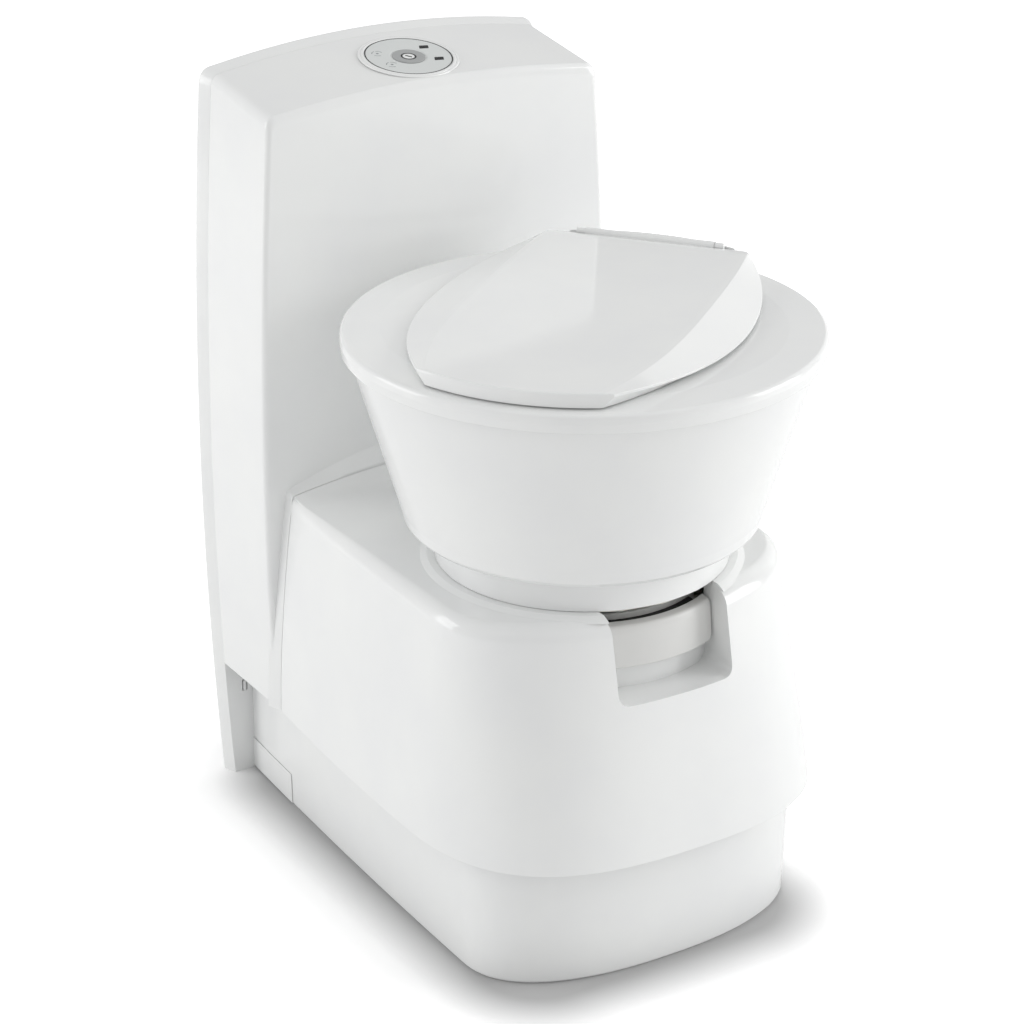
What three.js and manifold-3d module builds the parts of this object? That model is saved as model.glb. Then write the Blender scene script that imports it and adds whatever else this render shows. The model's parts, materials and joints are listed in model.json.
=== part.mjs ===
// Free-standing swivel-bowl cassette toilet with a built-in flush-water tower.
// Millimetres, +Z up, the front faces -Y. The origin is on the floor under the centre of the whole.
import * as THREE from 'three';
import { mergeVertices } from 'three/addons/utils/BufferGeometryUtils.js';
import Module from 'manifold-3d';

const wasm = await Module();
wasm.setup();

// Driving dimensions: the whole
const towerHeight = 715.5;
const towerDepth = 121;
const wallToSwivel = 362;
const seatRadius = 206.6;
const seatTopHeight = 541;
const deckHeight = 331;
const skirtEdgeHeight = 121;
const restSwivelDeg = -360 / 7;
const mouldedWall = 3.5;
const seatGap = 0.3;
const rimSegments = 56;
const roundSegments = 36;
const innerSegments = 20;
const smallSegments = 16;
const fineSegments = 12;
const sideSteps = 6;
const topSteps = 5;
const cornerSteps = 3;
const housingLevels = 4;
const planSideSteps = 3;
const planCornerSteps = 8;
const runningGap = 0.8;
const overrun = 5;

// Tower
const towerMidHalfWidth = 184.8;
const towerFootHalfWidth = 173.3;
const towerWidestHeight = 326;
const towerTopDrop = 19;
const towerCrownRear = 15.5;
const towerCrownFront = 12;
const towerCornerRadius = 11;
const towerFrontRadius = 5;
const crownCornerDeg = 82;
const towerTopFrontRadius = 9;
const frameDepth = 14;
const frameFlare = 5;
const frameWidth = 19;
const frameLip = 2;
const framePocketDepth = 9;
const frameRim = 3;
const legSlotWidth = 5;
const legSlotHeight = 10;
const legSlotAboveFloor = 103;
const stubLength = 9;
const stubTopHalfWidth = 162;
const stubFootHalfWidth = 183.5;
const junctionRise = 36.5;
const junctionEdgeRise = 5.5;

// Base housing
const seamTopHalfWidth = 164;
const seamFootHalfWidth = 180.4;
const housingShoulderDrop = 16;
const housingTopHalfWidth = 169.5;
const housingFootHalfWidth = 191;
const housingTopFront = 504;
const housingFootFront = 540.7;
const housingCornerTop = 395;
const housingCornerFoot = 371;
const housingFilletWidth = 19;
const seamFilletWidth = 4;
const rampLength = 34;
const deckHoleRadius = 112;
const collarOuterRadius = 138;
const collarHeight = 2.6;
const sideCurveShare = 1.35;
const seamCurveShare = 1.6;
const housingTopPowerShare = 2.12;
const housingFootPowerShare = 2.7;

// Handle notch
const notchHalfWidth = 58;
const notchFloorHeight = 255;
const notchCornerRadius = 11;
const notchBackRadius = 121;
const notchUpperHeight = 279;

// Plinth
const plinthHalfWidth = 163.6;
const plinthRearHalfWidth = 151;
const plinthFront = 513.4;
const plinthCorner = 428;
const plinthRear = 14.3;
const plinthDraft = 4;
const plinthPowerShare = 2.34;
const plinthTuck = 18;
const plinthFlange = 3;
const coverLength = 58;
const coverHeight = 44;
const coverThickness = 2.4;

// Bowl
const neckRadius = 127;
const neckFoot = 333.6;
const neckTop = 360;
const skirtFootHeight = 366.6;
const skirtFootRadius = 150.5;
const skirtTopRadius = 199;
const skirtWall = 3;
const outletRadius = 50;
const outletWall = 4;
const outletFoot = 264;
const outletNeck = 36;
const bowlWall = 6;
const rimOverhang = 23;
const bowlMouthRadius = skirtTopRadius - rimOverhang;
const bearingInnerRadius = 114;
const rimLedge = 18;
const rimThickness = 4;
const rimShelf = 3;
const nozzleRadius = 6;
const nozzleLength = 9;
const nozzleDrop = 17;

// Seat and lid
const seatWallHeight = 16;
const seatThickness = 13;
const seatHoleHalfWidth = 108;
const seatHoleHalfLength = 132;
const seatHoleForward = 8;
const seatCrownInset = 34;
const seatCrownRise = 1.4;
const hingeFromRim = 19.6;
const hingeRise = 16;
const hingeDistance = seatRadius - hingeFromRim;
const hingeHeight = seatTopHeight + hingeRise;
const hingePinRadius = 1.9;
const hingeEarWidth = 8;
const hingeEarWall = 2;
const hingeKnuckleShare = 0.64;
const knuckleRadius = 3.4;
const hingeCoverTop = hingeHeight - 0.5;
const lidFrontSetback = 11.6;
const lidFront = seatRadius - lidFrontSetback;
const lidRearRadius = seatRadius - 1;
const lidSideRadius = 333;
const lidHalfWidth = 140;
const lidWidestBack = 10;
const lidPlateauHalfWidth = 101;
const lidRiseAtHinge = 2;
const lidHingeDrop = 3.5;
const lidHingeSlope = 20;
const lidTopFront = hingeHeight - 2;
const lidTopRear = hingeHeight + lidRiseAtHinge;
const lidSideHeight = hingeHeight - 10;
const lidUnderside = seatTopHeight + 2;
const lidWall = 3.2;
const seatHollowInner = 142;
const seatHollowOuter = 196;
const seatWall = 4;
const padRadius = 4;
const padHeight = 2.4;

// Control panel
const panelFromWall = 71;
const panelRadius = 46;
const discRadius = 40;
const buttonRadius = 15;
const bezelHeight = 1.6;
const discDepth = 5;
const buttonRise = 1.2;
const lensRadius = 2.2;
const lensAcrossShares = [0.58, 0.58];
const lensAlongShares = [0.33, -0.36];
const electronicsWidth = 92;
const electronicsDepth = 62;
const electronicsHeight = 24;

// Valve drive
const gearModule = 2.4;
const pinionTeeth = 20;
const rackTeeth = 8;
const pressureAngleDeg = 20;
const flankSteps = 2;
const gearHeight = 8;
const gearFoot = 284;
const gearBacklash = 0.5;
const rackBar = 8;
const armFromSwivel = 53;
const stemHalfWidth = 11;
const pinRadius = 4;
const bracketPlate = 3;
const keyWidth = 4.2;
const keyLength = 16;
const keyDepth = 3.6;
const handleOuterFoot = 131;
const handleOuterTop = 126.5;
const handleLip = 8;
const handleFoot = 280;
const handleTop = 317;
const handleInner = 104;
const handleSlabDepth = 200;

// Waste tank
const tankHalfWidth = 146;
const tankRear = 24;
const tankFront = 486;
const tankFoot = 20;
const tankTop = 236;
const tankWall = 3;
const tankCornerRadius = 34;
const tankFrontRadius = 96;
const valveCoverTop = 258;
const valveRadius = 54;
const valveMargin = 5;
const bladeThickness = 5;
const bladeFoot = 243;
const shaftRadius = 10;
const nicheWidth = 132;
const nicheDepth = 96;
const nicheFloor = 132;
const spoutRadius = 24;
const spoutWall = 3;
const spoutReach = 48;
const spoutRise = 44;
const capRadius = 29;
const capDepth = 18;
const wheelRadius = 17;
const wheelWidth = 12;
const axleRadius = 4;
const wheelFromRear = 44;
const ventRadius = 9;
const ventStem = 4;
const ventStemLength = 9;
const ventTravel = 2.5;
const ventCapHeight = 6;
const skidWidth = 14;
const skidLength = 90;
const bailHalfWidth = 42;
const bailDrop = 46;
const bailRod = 5;

// Flush water
const flushFoot = 272;
const flushClearance = 9;
const flushBelowTop = 75.5;
const flushTop = towerHeight - flushBelowTop;
const flushNeckRadius = 22;
const flushFrontRadius = 20;
const flushNeckHeight = 12;
const flushRearRadius = 12;
const pumpRadius = 19;
const pumpLength = 62;

// Places worked out from the driving dimensions
const wholeDepth = wallToSwivel + seatRadius;
const wallY = wholeDepth / 2;
const fromWall = (distance) => wallY - distance;
const swivelY = fromWall(wallToSwivel);
const seamFromWall = towerDepth + stubLength;
const pinionRadius = (gearModule * pinionTeeth) / 2;
const pinionX = outletRadius + outletWall + pinionRadius;
const degrees = Math.PI / 180;

// Geometry helpers

function solid(geometry) {
  const plain = geometry.clone();
  plain.deleteAttribute('normal');
  plain.deleteAttribute('uv');
  const merged = mergeVertices(plain, 1e-4);
  const kept = [];
  const index = merged.index.array;
  for (let i = 0; i < index.length; i += 3) {
    const [a, b, c] = [index[i], index[i + 1], index[i + 2]];
    if (a !== b && b !== c && c !== a) kept.push(a, b, c);
  }
  const vertProperties = new Float32Array(merged.attributes.position.array);
  const triVerts = orientOutwards(vertProperties, kept);
  return new wasm.Manifold(new wasm.Mesh({ numProp: 3, vertProperties, triVerts }));
}

function orientOutwards(positions, indices) {
  const corner = (i) => new THREE.Vector3().fromArray(positions, indices[i] * 3);
  let volume = 0;
  for (let i = 0; i < indices.length; i += 3) {
    volume += corner(i).dot(corner(i + 1).cross(corner(i + 2)));
  }
  const ordered = new Uint32Array(indices);
  if (volume < 0) {
    for (let i = 0; i < ordered.length; i += 3) {
      [ordered[i + 1], ordered[i + 2]] = [ordered[i + 2], ordered[i + 1]];
    }
  }
  return ordered;
}

function fromSolid(body) {
  const { vertProperties, triVerts } = body.getMesh();
  const geometry = new THREE.BufferGeometry();
  geometry.setAttribute('position', new THREE.BufferAttribute(new Float32Array(vertProperties), 3));
  geometry.setIndex(new THREE.BufferAttribute(new Uint32Array(triVerts), 1));
  geometry.computeVertexNormals();
  return geometry;
}

// Skin through rings of equal point counts; `drop` is the axis that the flat end caps face.
function loft(rings, drop) {
  const count = rings[0].length;
  const positions = rings.flat(2);
  const indices = [];
  for (let k = 0; k + 1 < rings.length; k += 1) {
    for (let i = 0; i < count; i += 1) {
      const j = (i + 1) % count;
      const [a, b, c, d] = [k * count + i, k * count + j, (k + 1) * count + j, (k + 1) * count + i];
      indices.push(a, b, c, a, c, d);
    }
  }
  const flat = (point) => new THREE.Vector2(...point.filter((value, axis) => axis !== drop));
  const cap = (ring, first, reversed) => {
    const outline = ring.map(flat);
    const turn = Math.sign(THREE.ShapeUtils.area(outline)) * (reversed ? -1 : 1);
    for (const face of THREE.ShapeUtils.triangulateShape(outline, [])) {
      const area = Math.sign(THREE.ShapeUtils.area(face.map((i) => outline[i])));
      const ordered = area === turn ? face : [face[0], face[2], face[1]];
      indices.push(...ordered.map((i) => i + first));
    }
  };
  cap(rings[0], 0, true);
  cap(rings[rings.length - 1], (rings.length - 1) * count, false);
  const geometry = new THREE.BufferGeometry();
  geometry.setAttribute('position', new THREE.BufferAttribute(new Float32Array(positions), 3));
  geometry.setIndex(indices);
  return solid(geometry);
}

function box([x0, y0, z0], [x1, y1, z1]) {
  const geometry = new THREE.BoxGeometry(x1 - x0, y1 - y0, z1 - z0);
  return solid(geometry.translate((x0 + x1) / 2, (y0 + y1) / 2, (z0 + z1) / 2));
}

function rod(radius, z0, z1, x = 0, y = 0, segments = innerSegments) {
  const geometry = new THREE.CylinderGeometry(radius, radius, z1 - z0, segments);
  return solid(geometry.rotateX(Math.PI / 2).translate(x, y, (z0 + z1) / 2));
}

function rodAlongX(radius, x0, x1, y, z, segments = smallSegments) {
  const geometry = new THREE.CylinderGeometry(radius, radius, x1 - x0, segments);
  return solid(geometry.rotateZ(Math.PI / 2).translate((x0 + x1) / 2, y, z));
}

function rodAlongY(radius, y0, y1, x, z, segments = smallSegments) {
  return solid(new THREE.CylinderGeometry(radius, radius, y1 - y0, segments).translate(x, (y0 + y1) / 2, z));
}

// Body of revolution about Z from [radius, height] pairs that close on the axis or on themselves.
function turned(profile, segments, x = 0, y = 0) {
  const points = profile.map(([radius, height]) => new THREE.Vector2(radius, height));
  const geometry = new THREE.LatheGeometry(points, segments);
  return solid(geometry.rotateX(Math.PI / 2).translate(x, y, 0));
}

function ringProfile(inner, outer, z0, z1) {
  return [[inner, z0], [outer, z0], [outer, z1], [inner, z1], [inner, z0]];
}

function raised(shape, z0, z1, curveSegments = 8) {
  const geometry = new THREE.ExtrudeGeometry(shape, { depth: z1 - z0, bevelEnabled: false, curveSegments });
  return solid(geometry.translate(0, 0, z0));
}

function roundedRectangle(x0, y0, x1, y1, frontRadius, rearRadius) {
  const shape = new THREE.Shape();
  shape.moveTo(x0 + frontRadius, y0);
  shape.lineTo(x1 - frontRadius, y0);
  shape.absarc(x1 - frontRadius, y0 + frontRadius, frontRadius, -Math.PI / 2, 0, false);
  shape.lineTo(x1, y1 - rearRadius);
  shape.absarc(x1 - rearRadius, y1 - rearRadius, rearRadius, 0, Math.PI / 2, false);
  shape.lineTo(x0 + rearRadius, y1);
  shape.absarc(x0 + rearRadius, y1 - rearRadius, rearRadius, Math.PI / 2, Math.PI, false);
  shape.lineTo(x0, y0 + frontRadius);
  shape.absarc(x0 + frontRadius, y0 + frontRadius, frontRadius, Math.PI, Math.PI * 1.5, false);
  return shape;
}

// A tube of the given inner and outer radius swept along a curve.
function pipe(curve, outer, inner, steps, sides = 12) {
  const shape = new THREE.Shape();
  shape.absarc(0, 0, outer, 0, Math.PI * 2, false);
  if (inner > 0) shape.holes.push(new THREE.Path().absarc(0, 0, inner, 0, Math.PI * 2, true));
  return solid(new THREE.ExtrudeGeometry(shape, {
    steps, extrudePath: curve, curveSegments: sides, bevelEnabled: false,
  }));
}

const ease = (from, to, share) => from + (to - from) * share;
const steps = (count) => Array.from({ length: count + 1 }, (_, i) => i / count);

// Tower outline

function towerHalfWidth(z) {
  const bow = (towerMidHalfWidth - towerFootHalfWidth) / towerWidestHeight ** 2;
  return towerMidHalfWidth - bow * (z - towerWidestHeight) ** 2;
}

function towerTopAt(x, distance) {
  const share = distance / towerDepth;
  const ridge = towerHeight - towerTopDrop * share;
  const crown = ease(towerCrownRear, towerCrownFront, share);
  return ridge - crown * (x / towerHalfWidth(towerHeight)) ** 2;
}

// Front-view outline of the tower at a distance from the wall, from the right foot over the top to the left foot.
function towerRing(distance, foot, sideInset, topInset) {
  const half = [];
  const radius = Math.max(towerCornerRadius - sideInset / 2, towerFrontRadius);
  const cornerX = towerHalfWidth(towerHeight - towerCrownRear) - sideInset;
  const top = (x) => towerTopAt(x, distance) - topInset;
  const cornerZ = top(cornerX - radius) - radius;
  for (const share of steps(sideSteps)) {
    const z = ease(foot, cornerZ, share);
    const fit = (cornerX - (towerHalfWidth(cornerZ) - sideInset)) * share;
    half.push([towerHalfWidth(z) - sideInset + fit, z]);
  }
  for (const share of steps(cornerSteps).slice(1)) {
    const angle = share * crownCornerDeg * degrees;
    half.push([cornerX - radius + radius * Math.cos(angle), cornerZ + radius * Math.sin(angle)]);
  }
  for (const share of steps(topSteps).slice(1)) {
    const x = (cornerX - radius) * (1 - share);
    half.push([x, top(x)]);
  }
  const mirrored = half.slice(0, -1).reverse().map(([x, z]) => [-x, z]);
  return [...half, ...mirrored].map(([x, z]) => [x, fromWall(distance), z]);
}

function junctionHeight(x) {
  const share = (x / stubTopHalfWidth) ** 2;
  return deckHeight + ease(junctionRise, junctionEdgeRise, share);
}

function rampHeight(x, distance) {
  const share = Math.min((distance - towerDepth) / rampLength, 1);
  return deckHeight + (junctionHeight(x) - deckHeight) * (1 - share) ** 2.2;
}

function seamHalfWidth(z) {
  const share = Math.max((z - skirtEdgeHeight) / (deckHeight - housingShoulderDrop - skirtEdgeHeight), 0);
  return seamFootHalfWidth - (seamFootHalfWidth - seamTopHalfWidth) * share ** seamCurveShare;
}

// Stub of the tower that reaches forward to the seam with the base housing.
function stubRing(distance, inset, foot) {
  const share = (distance - towerDepth) / stubLength;
  const shoulder = deckHeight - seamFilletWidth;
  const half = [];
  for (const step of steps(sideSteps)) {
    const z = ease(foot, shoulder, step);
    const up = Math.max((z - skirtEdgeHeight) / (shoulder - skirtEdgeHeight), 0);
    const atTower = ease(stubFootHalfWidth, seamTopHalfWidth, up ** seamCurveShare);
    half.push([ease(atTower, seamHalfWidth(z), share) - inset, z]);
  }
  for (const across of steps(topSteps)) {
    const x = (seamTopHalfWidth - seamFilletWidth) * (1 - across);
    half.push([x - inset * (1 - across), rampHeight(x, distance) - inset]);
  }
  const mirrored = half.slice(0, -1).reverse().map(([x, z]) => [-x, z]);
  return [...half, ...mirrored].map(([x, z]) => [x, fromWall(distance), z]);
}

function towerBody(inset, rear, foot, roundSteps) {
  const rings = [towerRing(rear, foot, inset, inset)];
  rings.push(towerRing(towerDepth - towerTopFrontRadius, foot, inset, inset));
  for (const share of steps(roundSteps)) {
    const angle = share * 90 * degrees;
    const distance = towerDepth - inset - towerFrontRadius * (1 - Math.sin(angle));
    const drop = 1 - Math.cos(angle);
    rings.push(towerRing(distance, foot, inset + towerFrontRadius * drop, inset + towerTopFrontRadius * drop));
  }
  return loft(rings, 1);
}

function panelPlace() {
  const rise = (towerTopAt(0, panelFromWall - 1) - towerTopAt(0, panelFromWall + 1)) / 2;
  const place = new THREE.Group();
  place.position.set(0, fromWall(panelFromWall), towerTopAt(0, panelFromWall));
  place.rotation.x = Math.atan(rise);
  place.updateMatrixWorld(true);
  return place;
}

const panel = panelPlace();
const intoPanel = (body) => body.transform(panel.matrixWorld.toArray());

function towerShell() {
  const rear = frameDepth + seatGap;
  const outer = towerBody(0, rear, skirtEdgeHeight, cornerSteps);
  const stubRings = steps(cornerSteps).map((share) => stubRing(
    ease(towerDepth - 1, seamFromWall, share), 0, skirtEdgeHeight));
  const stub = loft(stubRings, 1);
  const hollow = towerBody(mouldedWall, -overrun, skirtEdgeHeight - overrun, 1);
  const hollowRings = steps(cornerSteps).map((share) => stubRing(
    ease(towerDepth - mouldedWall * 2, seamFromWall + overrun, share), mouldedWall, skirtEdgeHeight - overrun));
  const stubHollow = loft(hollowRings, 1);
  const panelHole = intoPanel(rod(panelRadius - bezelHeight * 2, -towerTopDrop * 2, overrun * 2, 0, 0, innerSegments));
  return outer.add(stub).subtract(hollow).subtract(stubHollow).subtract(panelHole);
}

function rearFrame() {
  const outer = loft([
    towerRing(frameDepth, 0, 0, 0),
    towerRing(frameDepth / 2, 0, -frameFlare * 0.6, -frameLip * 0.6),
    towerRing(frameLip, 0, -frameFlare, -frameLip),
    towerRing(0, 0, -frameFlare, -frameLip),
  ], 1);
  const bay = loft([
    towerRing(frameDepth + overrun, -overrun, frameWidth, frameWidth),
    towerRing(-overrun, -overrun, frameWidth, frameWidth),
  ], 1);
  const pocketRings = (distance) => [
    towerRing(distance, frameRim, frameRim, frameRim),
    towerRing(distance, -overrun, frameWidth - frameRim, frameWidth - frameRim),
  ];
  const [pocketOut, pocketIn] = pocketRings(framePocketDepth);
  const [mouthOut, mouthIn] = pocketRings(-overrun);
  const pocket = loft([pocketOut, mouthOut], 1).subtract(loft([pocketIn, mouthIn], 1));
  let frame = outer.subtract(bay).subtract(pocket);
  for (const side of [-1, 1]) {
    const x = side * (towerFootHalfWidth - frameWidth / 2);
    const slot = box(
      [x - legSlotWidth / 2, fromWall(frameDepth + overrun), legSlotAboveFloor],
      [x + legSlotWidth / 2, wallY + overrun, legSlotAboveFloor + legSlotHeight],
    );
    frame = frame.subtract(slot);
  }
  return frame;
}

// Base housing

// Half of a plan outline: curved side from the seam, then a superellipse round the front corner.
function planRing(z, { rear, rearHalf, half, corner, front, power }) {
  const right = [];
  for (const share of steps(planSideSteps).slice(0, -1)) {
    const distance = ease(rear, corner, share);
    right.push([half - (half - rearHalf) * (1 - share) ** 2, distance]);
  }
  for (const share of steps(planCornerSteps)) {
    const angle = share * 90 * degrees;
    const x = half * Math.cos(angle) ** (2 / power);
    right.push([x, corner + (front - corner) * Math.sin(angle) ** (2 / power)]);
  }
  const left = right.slice(0, -1).reverse().map(([x, distance]) => [-x, distance]);
  return [...right, ...left].map(([x, distance]) => [x, fromWall(distance), z]);
}

function housingLevel(z, inset, rear) {
  const shoulder = deckHeight - housingShoulderDrop;
  const up = Math.min((z - skirtEdgeHeight) / (shoulder - skirtEdgeHeight), 1);
  const share = Math.max(up, 0);
  const over = Math.min(Math.max((z - shoulder) / housingShoulderDrop, 0), 1);
  const roundOff = 1 - Math.sqrt(1 - over * over);
  return planRing(z, {
    rear,
    rearHalf: seamHalfWidth(Math.min(z, shoulder)) - seamFilletWidth * roundOff - inset,
    half: ease(housingFootHalfWidth, housingTopHalfWidth, share ** sideCurveShare)
      - housingFilletWidth * 0.7 * roundOff - inset,
    corner: ease(housingCornerFoot, housingCornerTop, share),
    front: ease(housingFootFront, housingTopFront, share) - housingFilletWidth * roundOff - inset,
    power: ease(housingFootPowerShare, housingTopPowerShare, share),
  });
}

function housingBody(inset, rear, foot, roundLevels) {
  const shoulder = deckHeight - housingShoulderDrop - inset;
  const rings = steps(housingLevels).map((share) => housingLevel(ease(foot, shoulder, share), inset, rear));
  for (const share of steps(roundLevels).slice(1)) {
    const z = shoulder + housingShoulderDrop * Math.sin(share * 90 * degrees);
    const level = housingLevel(Math.min(z + inset, deckHeight), inset, rear);
    rings.push(level.map(([x, y]) => [x, y, z]));
  }
  return loft(rings, 2);
}

function notchShape(margin) {
  const shape = new THREE.Shape();
  const half = notchHalfWidth + margin;
  const foot = notchFloorHeight - margin;
  const radius = notchCornerRadius + margin;
  shape.moveTo(-half, deckHeight + overrun);
  shape.lineTo(-half, foot + radius);
  shape.absarc(-half + radius, foot + radius, radius, Math.PI, Math.PI * 1.5, false);
  shape.lineTo(half - radius, foot);
  shape.absarc(half - radius, foot + radius, radius, -Math.PI / 2, 0, false);
  shape.lineTo(half, deckHeight + overrun);
  return shape;
}

// The notch seen from the front, pushed back to the swivel axis.
function notchBlock(margin) {
  const block = raised(notchShape(margin), 0, housingFootFront + overrun - wallToSwivel, 5);
  const standing = new THREE.Matrix4().makeRotationX(Math.PI / 2);
  standing.setPosition(0, swivelY, 0);
  return block.transform(standing.toArray());
}

function baseHousing() {
  const outer = housingBody(0, seamFromWall + seatGap, skirtEdgeHeight, housingLevels);
  const hollow = housingBody(mouldedWall, seamFromWall - overrun, skirtEdgeHeight - overrun, 2);
  const rampRings = steps(4).map((share) => {
    const distance = ease(seamFromWall + seatGap, towerDepth + rampLength, share);
    const half = seamTopHalfWidth - seamFilletWidth;
    const across = steps(topSteps * 2).map((part) => half * (1 - part * 2));
    const top = across.map((x) => [x, fromWall(distance), rampHeight(x, distance)]);
    const foot = deckHeight - mouldedWall;
    return [[half, fromWall(distance), foot], ...top, [-half, fromWall(distance), foot]];
  });
  const ramp = loft(rampRings, 1);
  const collar = turned([
    [neckRadius + runningGap, deckHeight - 1], [collarOuterRadius + collarHeight, deckHeight - 1],
    [collarOuterRadius - collarHeight, deckHeight + collarHeight],
    [neckRadius + runningGap, deckHeight + collarHeight], [neckRadius + runningGap, deckHeight - 1],
  ], roundSegments, 0, swivelY);
  const pocket = outer.intersect(notchBlock(mouldedWall))
    .subtract(rod(notchBackRadius - mouldedWall, 0, deckHeight - mouldedWall, 0, swivelY, roundSegments));
  const lowerCut = notchBlock(0).subtract(rod(notchBackRadius, 0, notchUpperHeight, 0, swivelY, roundSegments));
  const deckHole = rod(deckHoleRadius, deckHeight - housingShoulderDrop, deckHeight + overrun, 0, swivelY, roundSegments);
  return outer.subtract(hollow).add(ramp).add(collar).add(pocket).subtract(lowerCut).subtract(deckHole);
}

function plinthRing(z, inset, rear) {
  const draft = plinthDraft * (z / skirtEdgeHeight);
  return planRing(z, {
    rear,
    rearHalf: plinthRearHalfWidth - inset,
    half: plinthHalfWidth + draft - inset,
    corner: plinthCorner,
    front: plinthFront + draft - inset,
    power: plinthPowerShare,
  });
}

function plinthSkin(inset, foot, top, rear) {
  return loft([plinthRing(foot, inset, rear), plinthRing(top, inset, rear)], 2);
}

// Upright wall set back under the housing, with a flange that carries the housing's skirt.
function plinth() {
  const top = skirtEdgeHeight + plinthTuck;
  const rear = seamFromWall + seatGap;
  const level = (z) => housingLevel(z, mouldedWall + seatGap * 3, rear);
  const flange = loft([level(top - plinthFlange), level(top)], 2);
  const hollow = plinthSkin(mouldedWall, -overrun, top + overrun, plinthRear - overrun);
  return plinthSkin(0, 0, top, plinthRear).add(flange).subtract(hollow);
}

// Removable plate low on the plinth beside the wall, with a raised grip rib.
function plinthCover(side) {
  const y1 = fromWall(plinthRear + overrun);
  const edges = [side * plinthHalfWidth / 2, side * plinthHalfWidth * 2];
  const zone = (front, back, foot, top) => box(
    [Math.min(...edges), front, foot], [Math.max(...edges), back, top]);
  const skin = (inset) => plinthSkin(inset, 0, skirtEdgeHeight, 0);
  const plate = skin(-seatGap - coverThickness).intersect(zone(y1 - coverLength, y1, seatGap, coverHeight));
  const margin = coverThickness * 3;
  const rib = skin(-seatGap - coverThickness * 1.6).intersect(
    zone(y1 - coverLength + margin, y1 - margin, coverHeight / 2, coverHeight / 2 + coverThickness));
  return plate.add(rib).subtract(skin(-seatGap));
}

// Control panel, in its own frame on the sloping top

function panelBezel() {
  const groove = bezelHeight / 2;
  return turned([
    [discRadius + seatGap, -discDepth], [panelRadius - bezelHeight * 2 - seatGap, -discDepth],
    [panelRadius - bezelHeight * 2 - seatGap, seatGap], [panelRadius, seatGap],
    [panelRadius - groove, bezelHeight], [discRadius + groove * 4, bezelHeight],
    [discRadius + groove * 3, groove], [discRadius + groove * 2, bezelHeight],
    [discRadius + seatGap, bezelHeight], [discRadius + seatGap, -discDepth],
  ], innerSegments);
}

function panelDisc() {
  const disc = turned([
    [buttonRadius + runningGap, -discDepth], [discRadius, -discDepth], [discRadius, bezelHeight * 0.6],
    [buttonRadius + runningGap * 3, bezelHeight * 0.6], [buttonRadius + runningGap, bezelHeight * 0.2],
    [buttonRadius + runningGap, -discDepth],
  ], innerSegments);
  return lensPlaces().reduce(
    (body, [x, y]) => body.subtract(rod(lensRadius + seatGap, -discDepth * 2, overrun, x, y, fineSegments)), disc);
}

function lensPlaces() {
  return lensAcrossShares.map((share, i) => [share * discRadius, lensAlongShares[i] * discRadius]);
}

function flushButton() {
  const rim = buttonRadius * 0.92;
  return turned([
    [0, -discDepth * 1.4], [buttonRadius * 0.5, -discDepth * 1.4], [buttonRadius * 0.5, -discDepth * 0.6],
    [buttonRadius, -discDepth * 0.6], [buttonRadius, buttonRise * 0.5], [rim, buttonRise],
    [rim * 0.5, buttonRise * 0.7], [0, buttonRise * 0.6],
  ], innerSegments);
}

function panelElectronics() {
  const top = -discDepth * 1.4 - buttonRise * 3;
  const post = top + buttonRise * 3 - seatGap;
  const shape = roundedRectangle(-electronicsWidth / 2, -electronicsDepth / 2,
    electronicsWidth / 2, electronicsDepth / 2, buttonRadius / 3, buttonRadius / 3);
  const shoulder = -discDepth - seatGap;
  let body = raised(shape, top - electronicsHeight, top, 4);
  for (const side of [-1, 1]) {
    body = body.add(box(
      [side * (discRadius * 0.8) - buttonRise * 2, -buttonRadius / 2, top - 1],
      [side * (discRadius * 0.8) + buttonRise * 2, buttonRadius / 2, shoulder],
    ));
  }
  return body.add(rod(buttonRadius / 4, top - 1, post - buttonRise * 1.7, 0, 0, fineSegments));
}

// Bowl, in the frame of its swivel axis with the front at -Y

function bowlSkirt() {
  const top = seatTopHeight - seatWallHeight - seatGap * 2;
  const shelf = ceramicTop() - rimThickness - seatGap;
  const outer = [
    [bearingInnerRadius, neckFoot], [neckRadius, neckFoot], [neckRadius, neckTop - 2],
    [skirtFootRadius - 8, skirtFootHeight - 3], [skirtFootRadius - 2, skirtFootHeight],
    [skirtFootRadius + 2.5, skirtFootHeight + 4], [skirtFootRadius + 6, skirtFootHeight + 12],
    [skirtTopRadius + 1, top], [skirtTopRadius + 1 - skirtWall, top], [skirtTopRadius + 1 - skirtWall, shelf],
    [bearingInnerRadius, shelf], [bearingInnerRadius, neckFoot],
  ];
  const hollow = turned([
    [bearingInnerRadius - overrun, shelf + overrun], [bearingInnerRadius - overrun, neckFoot + skirtWall],
    [neckRadius - skirtWall, neckFoot + skirtWall], [neckRadius - skirtWall, neckTop + skirtWall],
    [skirtFootRadius - skirtWall, skirtFootHeight + skirtWall * 3],
    [skirtTopRadius - skirtWall * 2, shelf - rimShelf], [bowlMouthRadius + rimLedge / 2, shelf - rimShelf],
    [bowlMouthRadius + rimLedge / 2, shelf + overrun], [bearingInnerRadius - overrun, shelf + overrun],
  ], innerSegments);
  return turned(outer, roundSegments).subtract(hollow);
}

const bowlOuterShares = [[0, 0], [0.3, 0.1], [0.5, 0.26], [0.68, 0.5], [0.86, 0.8], [1, 1]];

// Inside of the ceramic bowl as [radius, height] rows from the outlet to the rim.
function bowlInside() {
  const foot = outletFoot + outletNeck + bowlWall;
  return bowlOuterShares.map(([out, up]) => [
    ease(outletRadius - outletWall, bowlMouthRadius - bowlWall, out), ease(foot, ceramicTop() + seatGap, up),
  ]);
}

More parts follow.
